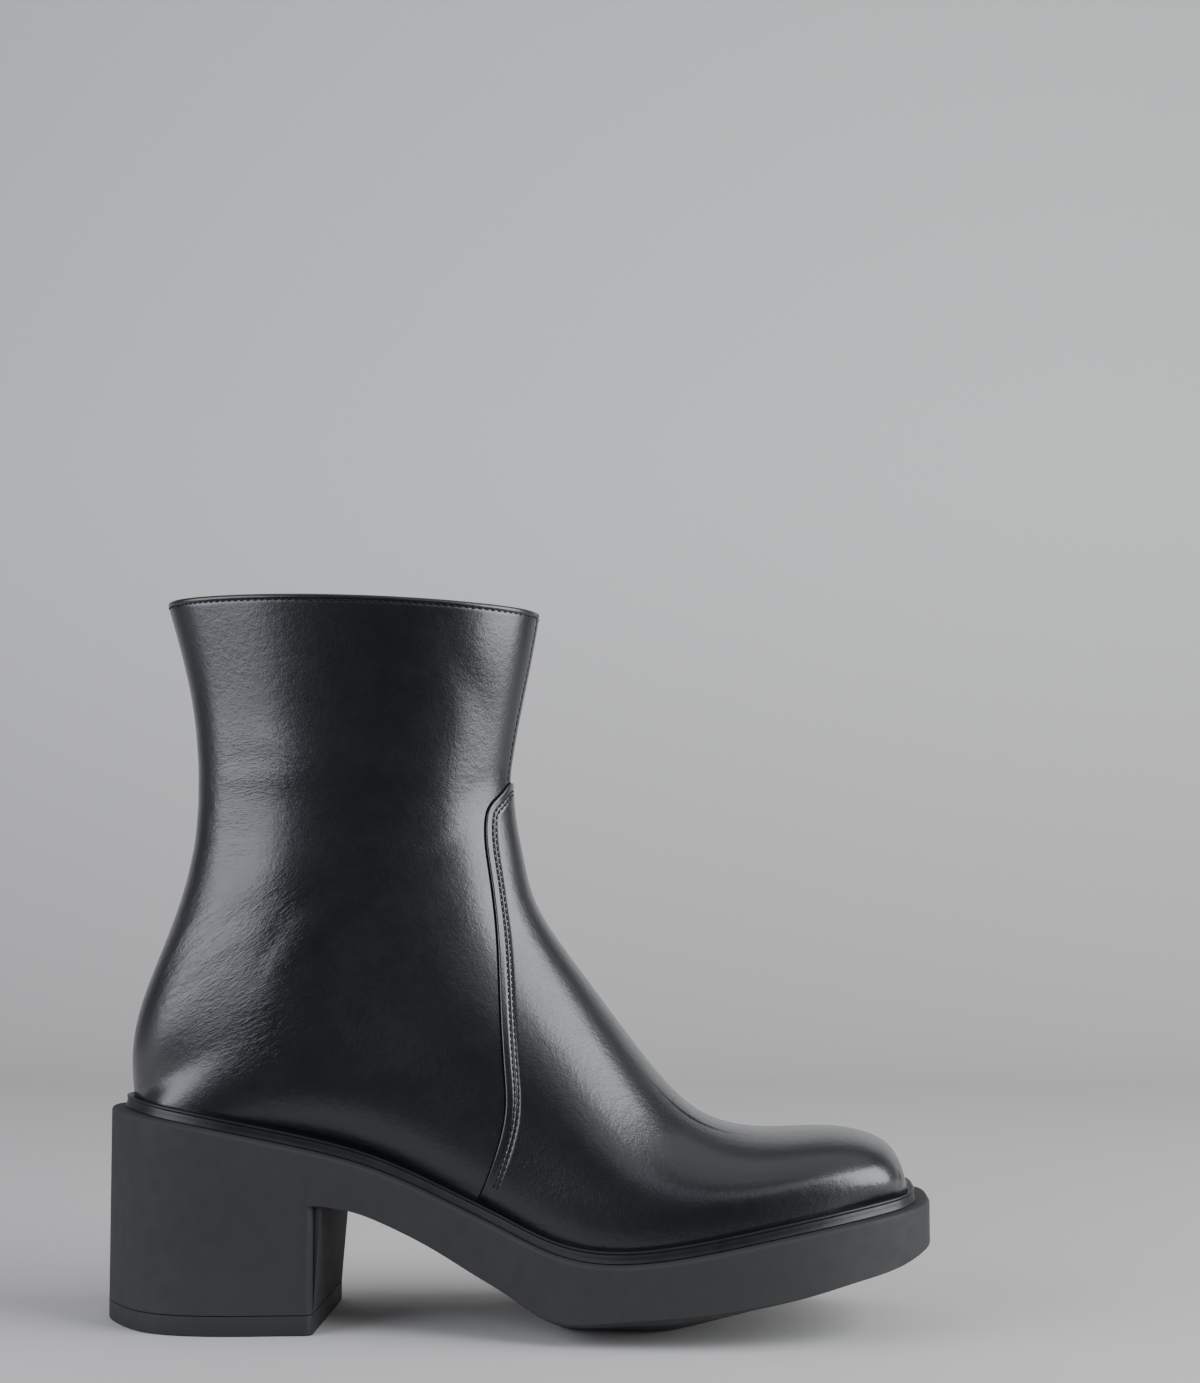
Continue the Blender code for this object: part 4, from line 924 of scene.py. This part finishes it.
sole = {
    "breastBottom": -59.0,
    "breastTop": -56.5,
    "topPiece": 6.0,
    "gap": 0.3,
    "edge": 0.6,  # round at the foot of the top piece
    "rim": 1.2,  # round at the top of the side wall
    "corner": 2.3,  # round of the heel's breast corners
    # under the sole, ahead of the heel: x, foot of the side wall, tread at the middle
    "under": [(-56.5, 38.6, 37.6), (-47.0, 37.0, 35.6), (-36.0, 33.1, 31.2), (-22.0, 26.7, 24.0),
              (-9.0, 19.7, 15.6), (2.0, 14.0, 8.4), (11.0, 8.9, 2.4), (18.0, 7.1, 0.0),
              (30.0, 7.8, -0.6), (46.0, 9.4, -0.2), (60.0, 10.8, 3.0), (75.0, 13.0, 7.2),
              (89.0, 15.4, 12.0), (105.0, 19.2, 17.6), (118.0, 22.3, 22.3), (128.5, 26.6, 26.6)],
    # round under the side wall: inset, share of the drop, how much narrower
    "round": [(0.3, 0.03, 1.0), (1.2, 0.10, 1.0), (2.8, 0.18, 1.0), (5.0, 0.26, 1.0),
              (8.0, 0.35, 1.0), (12.0, 0.45, 1.0), (12.0, 0.72, 0.8), (12.0, 0.9, 0.62),
              (12.0, 1.0, 0.48)],
    "stationsFore": 110,
    "stationsHeel": 70,
}


def soleStations(inset):
    # Places along the sole, crowded at the toe, at the back and at the breast.
    foreTurn = np.linspace(0.0, math.pi / 2.0, sole["stationsFore"])
    fore = sole["breastTop"] + (last["toeX"] - inset - sole["breastTop"]) * np.cos(foreTurn)
    corner = sole["breastBottom"] - sole["corner"] * (1.0 - np.cos(np.linspace(0, math.pi / 2, 8)))
    heelTurn = np.linspace(0.0, math.pi / 2.0, sole["stationsHeel"] - 7)[1:]
    heel = corner[-1] + (last["rearX"] + inset - corner[-1]) * np.sin(heelTurn)
    return fore, np.concatenate([corner, heel])


def heelWidths(inset, cornered=True):
    # Places along the heel and its half widths there, its plan rounded at the breast.
    heel = soleStations(inset)[1]
    outer, inner = insetWidths(inset, heel)
    corner = sole["corner"] * cornered
    into = np.clip(heel - (sole["breastBottom"] - corner), 0.0, corner)
    cut = corner - np.sqrt(corner ** 2 - into ** 2)
    return heel, outer - cut, inner - cut


def closedLevel(x, outer, inner, z):
    # A level of a solid: the outer side back to the heel, then the inner side forwards.
    return np.vstack([np.column_stack([x, -outer, z]), np.column_stack([x, inner, z])[::-1]])


def soleLevel(inset, foreZ, heelInset, heelZ, narrow=1.0, cornered=False):
    # One level of the sole: its fore part and its heel, each at the edge moved inwards
    # and at a height of its own.
    fore = soleStations(inset)[0]
    heel, outerHeel, innerHeel = heelWidths(heelInset, cornered)
    outerFore, innerFore = insetWidths(inset, fore)
    return closedLevel(np.concatenate([fore, heel]),
                       np.concatenate([outerFore, outerHeel]) * narrow,
                       np.concatenate([innerFore, innerHeel]) * narrow,
                       np.concatenate([foreZ(fore), heelZ(heel)]))


def cappedLoft(layers):
    # Quads between closed levels of one length, with bars from side to side as caps.
    count = len(layers[0])
    i = np.arange(count // 2 - 1)
    bars = np.stack([i, i + 1, count - 2 - i, count - 1 - i], -1)
    return np.vstack(layers), np.vstack([gridFaces(len(layers), count, True), bars,
                                         bars + (len(layers) - 1) * count])


def soleUnitPiece():
    # Outsole, waist and block heel in one moulding.
    def footZ(x):
        return tableLine(sole["under"], 1, x)

    def treadZ(x):
        return np.maximum(tableLine(sole["under"], 2, x), 0.0)

    bottom = sole["topPiece"] + sole["gap"]
    waist = float(footZ(np.array(sole["breastTop"])))
    layers = []
    for turn in np.radians([90.0, 72.0, 54.0, 36.0, 18.0, 0.0]):
        def rimZ(x, drop=sole["rim"] * (1.0 - math.sin(turn))):
            return ledgeZ(x) - drop

        inset = sole["rim"] * (1.0 - math.cos(turn))
        layers.append(soleLevel(inset, rimZ, inset, rimZ))
    layers.append(soleLevel(0.0, footZ, 0.0, lambda x: 0.0 * x + waist))
    for k, (inset, drop, narrow) in enumerate(sole["round"]):
        def foreZ(x, drop=drop):
            return footZ(x) + (treadZ(x) - footZ(x)) * drop

        heel = waist - 0.1 if k == 0 else bottom
        layers.append(soleLevel(inset, foreZ, 0.0, lambda x, z=heel: 0.0 * x + z, narrow, True))
    mesh = addMesh("sole_moulding", *cappedLoft(layers), 38.0, outward=True)
    addPiece("sole_moulding", mesh, soleSurface, replaced=["sole_unit"])


def topPiecePiece():
    # Wearing piece under the heel, with its lower edge broken by a small round.
    edge = sole["edge"]
    layers = []
    for inset, z in [(0.25, sole["topPiece"]), (0.0, sole["topPiece"] - 0.25), (0.0, edge),
                     (edge * 0.3, edge * 0.3), (edge, 0.0)]:
        heel, outer, inner = heelWidths(inset)
        layers.append(closedLevel(heel, outer, inner, np.full_like(heel, z)))
    mesh = addMesh("heel_wearing_piece", *cappedLoft(layers), 38.0, outward=True)
    addPiece("heel_wearing_piece", mesh, topPieceSurface,
             replaced=["heel_top_piece"])


rand = {
    "wall": 2.1,
    "height": 3.8,
    "bead": 0.5,  # radius of the bead along its top
    "outer": 4.5,  # its outside, from the sole's edge
}


def randPiece():
    # Moulded strip round the upper's foot. Its section, from the inner foot round the
    # outside to the top: a small flare on the ledge, a flat wall, and a round bead.
    outer = rand["outer"]
    inner = outer + rand["wall"]
    top = rand["height"]
    bead = rand["bead"]
    section = [(inner, sole["gap"]), (outer - 0.15, sole["gap"]), (outer - 0.12, sole["gap"] + 0.22),
               (outer + 0.1, sole["gap"] + 0.5), (outer + 0.16, top * 0.45),
               (outer + 0.24, top - 2.6 * bead), (outer + 0.34, top - 2.15 * bead)]
    middleInset = outer + 0.1 + bead
    for turn in np.radians(np.linspace(-50.0, 130.0, 9)):
        section.append((middleInset - bead * math.cos(turn), top - bead + bead * math.sin(turn)))
    section = np.array(section + [(inner - 0.35, top - 0.75), (inner, top - 0.7)])
    edge = edgePoints[::2]
    flat = edge[None] + section[:, :1, None] * edgeInward[None, ::2]
    z = ledgeZ(flat[..., 0]) + section[:, 1:]
    grid = np.concatenate([flat, z[..., None]], axis=-1)
    mesh = addMesh("rand_strip", np.concatenate([grid, grid[:1]]),
                   gridFaces(len(grid) + 1, len(edge), True), 60.0, outward=True)
    addPiece("rand_strip", mesh, randSurface, replaced=["rand"])


soleUnitPiece()
topPiecePiece()
randPiece()
for node, surface in (("insole", liningSurface), ("zip_tape", tapeSurface)):
    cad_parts[node].data.materials.clear()
    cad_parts[node].data.materials.append(surface)

# Zip on the inner side

zipLine = {
    "x": -48.0,
    "slot": 8.0,
    "bottom": 66.0,
    "top": 220.0,
    "toothPitch": 2.0,
    "toothHalf": (1.7, 0.52, 0.55),
    "toothOut": 0.85,  # middle of each row of teeth from the middle line
    "cord": (1.0, 0.55),  # half width and half height of the turned edge
    "stitchOut": 2.6,
}


def cutSlot(piece):
    # Slot for the zip through the wall, cut with a box.
    low = np.array([zipLine["x"] - zipLine["slot"] / 2.0, 8.0, zipLine["bottom"]])
    high = np.array([zipLine["x"] + zipLine["slot"] / 2.0, 60.0, 260.0])
    square = [(0, 0), (1, 0), (1, 1), (0, 1)]
    corners = [low + (high - low) * (*corner, level) for level in (0, 1) for corner in square]
    faces = [(0, 3, 2, 1), (4, 5, 6, 7), (0, 1, 5, 4), (1, 2, 6, 5), (2, 3, 7, 6), (3, 0, 4, 7)]
    box = bpy.data.objects.new("slot_box", addMesh("slot_box", corners, faces))
    bpy.context.scene.collection.objects.link(box)
    cut = piece.modifiers.new("slot", "BOOLEAN")
    cut.operation = "DIFFERENCE"
    cut.solver = "EXACT"
    cut.object = box
    graph = bpy.context.evaluated_depsgraph_get()
    made = bpy.data.meshes.new_from_object(piece.evaluated_get(graph))
    piece.modifiers.clear()
    piece.data = made
    shadeRound(made, 50.0)
    bpy.data.objects.remove(box)


cutSlot(quarters)
cutSlot(lining)
print("zip slot cut")


def sweptBand(path, normals, section):
    # A closed section carried along a path, first number across and second along the
    # normal, with its ends drawn in to their middles.
    across = unit(np.cross(unit(np.gradient(path, axis=0)), normals))
    grid = (path[:, None] + across[:, None] * section[None, :, :1]
            + normals[:, None] * section[None, :, 1:])
    ends = np.repeat(grid[[0, -1]].mean(1, keepdims=True), len(section), axis=1)
    grid = np.concatenate([ends[:1], grid, ends[1:]])
    return grid, gridFaces(len(grid), len(section), True)


def zipEdging():
    # Turned edges of the leather along both sides of the slot and across its foot.
    half = zipLine["slot"] / 2.0 + 0.15
    down = np.linspace(222.0, zipLine["bottom"] + 3.0, 120)
    turn = np.linspace(0.0, math.pi, 16)[1:-1]
    x = np.concatenate([np.full(120, -half), -half * np.cos(turn), np.full(120, half)])
    z = np.concatenate([down, down[-1] - 3.2 * np.sin(turn), down[::-1]])
    points, normals = sideFrame(x + zipLine["x"], z, 1.0)
    angle = np.linspace(0.0, 2.0 * math.pi, 12, endpoint=False)
    wide, high = zipLine["cord"]
    section = np.column_stack([wide * np.cos(angle), 0.1 + high * np.sin(angle)])
    mesh = addMesh("zip_edging", *sweptBand(points, normals, section), 60.0, outward=True)
    addPiece("zip_edging", mesh, calfSurface)
    out = half + zipLine["stitchOut"]
    z = np.linspace(220.0, zipLine["bottom"] + 1.0, 120)
    return [sideFrame(np.full_like(z, zipLine["x"] + offset), z, 1.0) for offset in (-out, out)]


def zipTeeth():
    # Two rows of moulded teeth that lock on the middle line, one row half a pitch on.
    ball, ballFaces = ballTemplate(8, 5)
    z = np.arange(zipLine["bottom"] + 2.0, zipLine["top"] - 1.0, zipLine["toothPitch"] / 2.0)
    hand = np.where(np.arange(len(z)) % 2 == 0, -1.0, 1.0)
    points, normals = sideFrame(zipLine["x"] + hand * zipLine["toothOut"], z, 1.0)
    along = unit(np.gradient(points, axis=0) * np.array([0.0, 1.0, 1.0]))
    across = unit(np.cross(along, normals))
    axes = np.stack([across, along, normals], axis=1)
    boxy = np.sign(ball) * np.abs(ball) ** 0.6
    made, faces = repeated((boxy, ballFaces), points - normals * 0.35, axes, zipLine["toothHalf"])
    addPiece("zip_teeth", addMesh("zip_teeth", made, faces, 60.0, 0.001), teethSurface)


zipLines = zipEdging()
stitchPiece("zip_stitches", zipLines, thread["collarPitch"])
zipTeeth()


def softenedCopy(node, name, body, width):
    # A CAD part's own shape with its edges rounded, as casting and tumbling leave it.
    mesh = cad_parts[node].data.copy()
    mesh.name = name
    shape = bmesh.new()
    shape.from_mesh(mesh)
    bmesh.ops.remove_doubles(shape, verts=shape.verts, dist=1e-6)
    bmesh.ops.dissolve_limit(shape, angle_limit=math.radians(1.0), verts=shape.verts,
                             edges=shape.edges)
    shape.to_mesh(mesh)
    shape.free()
    piece = addPiece(name, mesh, nickelSurface, body, [node])
    shadeRound(mesh, 40.0)
    rounding = piece.modifiers.new("rounded_edges", "BEVEL")
    rounding.width = width * mm
    rounding.segments = 3
    rounding.limit_method = "ANGLE"
    rounding.angle_limit = math.radians(50.0)


softenedCopy("zip_slider", "slider_body", "boot", 0.3)
softenedCopy("zip_pull", "pull_tab", "pull", 0.3)

# Floor, light and camera

studio = {
    # paper sweep: front edge, start of its curve, radius, height, half width
    "frontY": -125.0,
    "curveY": 720.0,
    "radius": 520.0,
    "height": 970.0,
    "halfWidth": 1700.0,
    "floorColour": "#bcbab9",
    # the wall's paler colour is painted light, standing in for light that the wall does not get
    "wallPaintedLightColour": "#d0cfce",
    "airColour": "#4b4c50",  # what lights and shows in the gloss
    # name, place, aimed at, width, height, watts, colour
    "lights": [("left_softbox", (-990.0, -590.0, 480.0), (-60.0, 0.0, 130.0), 1250.0, 960.0, 17.5,
                "#f0f4ff"),
               ("right_softbox", (1090.0, -330.0, 540.0), (0.0, 0.0, 130.0), 1100.0, 1250.0, 33.0,
                "#fafeff"),
               ("front_softbox", (480.0, -1025.0, 1180.0), (0.0, 0.0, 80.0), 900.0, 700.0, 2.2,
                "#f0f4ff"),
               ("top_softbox", (0.0, 300.0, 2000.0), (0.0, 200.0, 0.0), 2600.0, 2000.0, 11.0,
                "#ffffff")],
}


def paperSweep():
    # Seamless paper: flat under the boot, curved up behind it, and painted paler up the wall as
    # painted light, making up for the weaker light that reaches the wall.
    turn = np.linspace(0.0, math.pi / 2.0, 24)
    radius, half = studio["radius"], studio["halfWidth"]
    y = np.concatenate([[studio["frontY"]], studio["curveY"] + radius * np.sin(turn),
                        [studio["curveY"] + radius]])
    z = np.concatenate([[0.0], radius * (1.0 - np.cos(turn)), [studio["height"]]])
    grid = np.stack([np.stack([np.full_like(y, x), y, z], -1) for x in (-half, half)])
    mesh = addMesh("paper_sweep", grid - bootMiddle, gridFaces(2, len(y)), 60.0)
    surface, tree, shader, place, _ = finish("matte_backdrop_paper", {"Specular IOR Level": 0.2},
                                             [("gloss", 8.0, 3.0, 0.75, 0.85)])
    # blend by height to the paler wall colour: painted light on the wall
    height = addNode(tree, "ShaderNodeSeparateXYZ", {}, {0: place}).outputs["Z"]
    rise = addNode(tree, "ShaderNodeMapRange",
                   {"interpolation_type": "SMOOTHSTEP", "From Max": radius * mm},
                   {"Value": height}).outputs["Result"]
    tint = addNode(tree, "ShaderNodeMix",
                   {"data_type": "RGBA", 6: colour(studio["floorColour"]),
                    7: colour(studio["wallPaintedLightColour"])}, {0: rise}).outputs[2]
    tree.links.new(tint, shader.inputs["Base Color"])
    sweep = bpy.data.objects.new("paper_sweep", mesh)
    bpy.context.scene.collection.objects.link(sweep)
    mesh.materials.append(surface)


def softboxes():
    # Each soft light stands at its place and faces what it is aimed at, unseen itself.
    for name, place, aim, width, height, watts, code in studio["lights"]:
        lamp = bpy.data.lights.new(name, "AREA")
        lamp.shape = "RECTANGLE"
        lamp.size = width * mm
        lamp.size_y = height * mm
        lamp.energy = watts
        lamp.color = colour(code)[:3]
        box = bpy.data.objects.new(name, lamp)
        bpy.context.scene.collection.objects.link(box)
        back = (np.array(place) - np.array(aim)) * mm
        box.location = np.array(place) * mm
        box.rotation_euler = Vector(back).to_track_quat("Z", "Y").to_euler()
        box.visible_camera = False


def plainWorld():
    # Dim grey air all round.
    world = bpy.data.worlds.new("studio_air")
    world.use_nodes = True
    world.node_tree.nodes["Background"].inputs["Color"].default_value = colour(studio["airColour"])
    bpy.context.scene.world = world


camera = {"place": (61.9, -727.8, 146.0), "turn": 2.8, "tilt": 3.942, "lens": 59.87}


def photoCamera():
    # Eye height and turn were solved from the photo; the sensor's long side is 36 mm.
    lens = bpy.data.cameras.new("view")
    lens.lens = camera["lens"]
    eye = bpy.data.objects.new("view", lens)
    eye.location = np.array(camera["place"]) * mm
    eye.rotation_euler = (math.radians(90.0 + camera["tilt"]), 0.0, math.radians(camera["turn"]))
    bpy.context.scene.collection.objects.link(eye)
    bpy.context.scene.camera = eye


paperSweep()
softboxes()
plainWorld()
photoCamera()
bpy.context.view_layer.update()
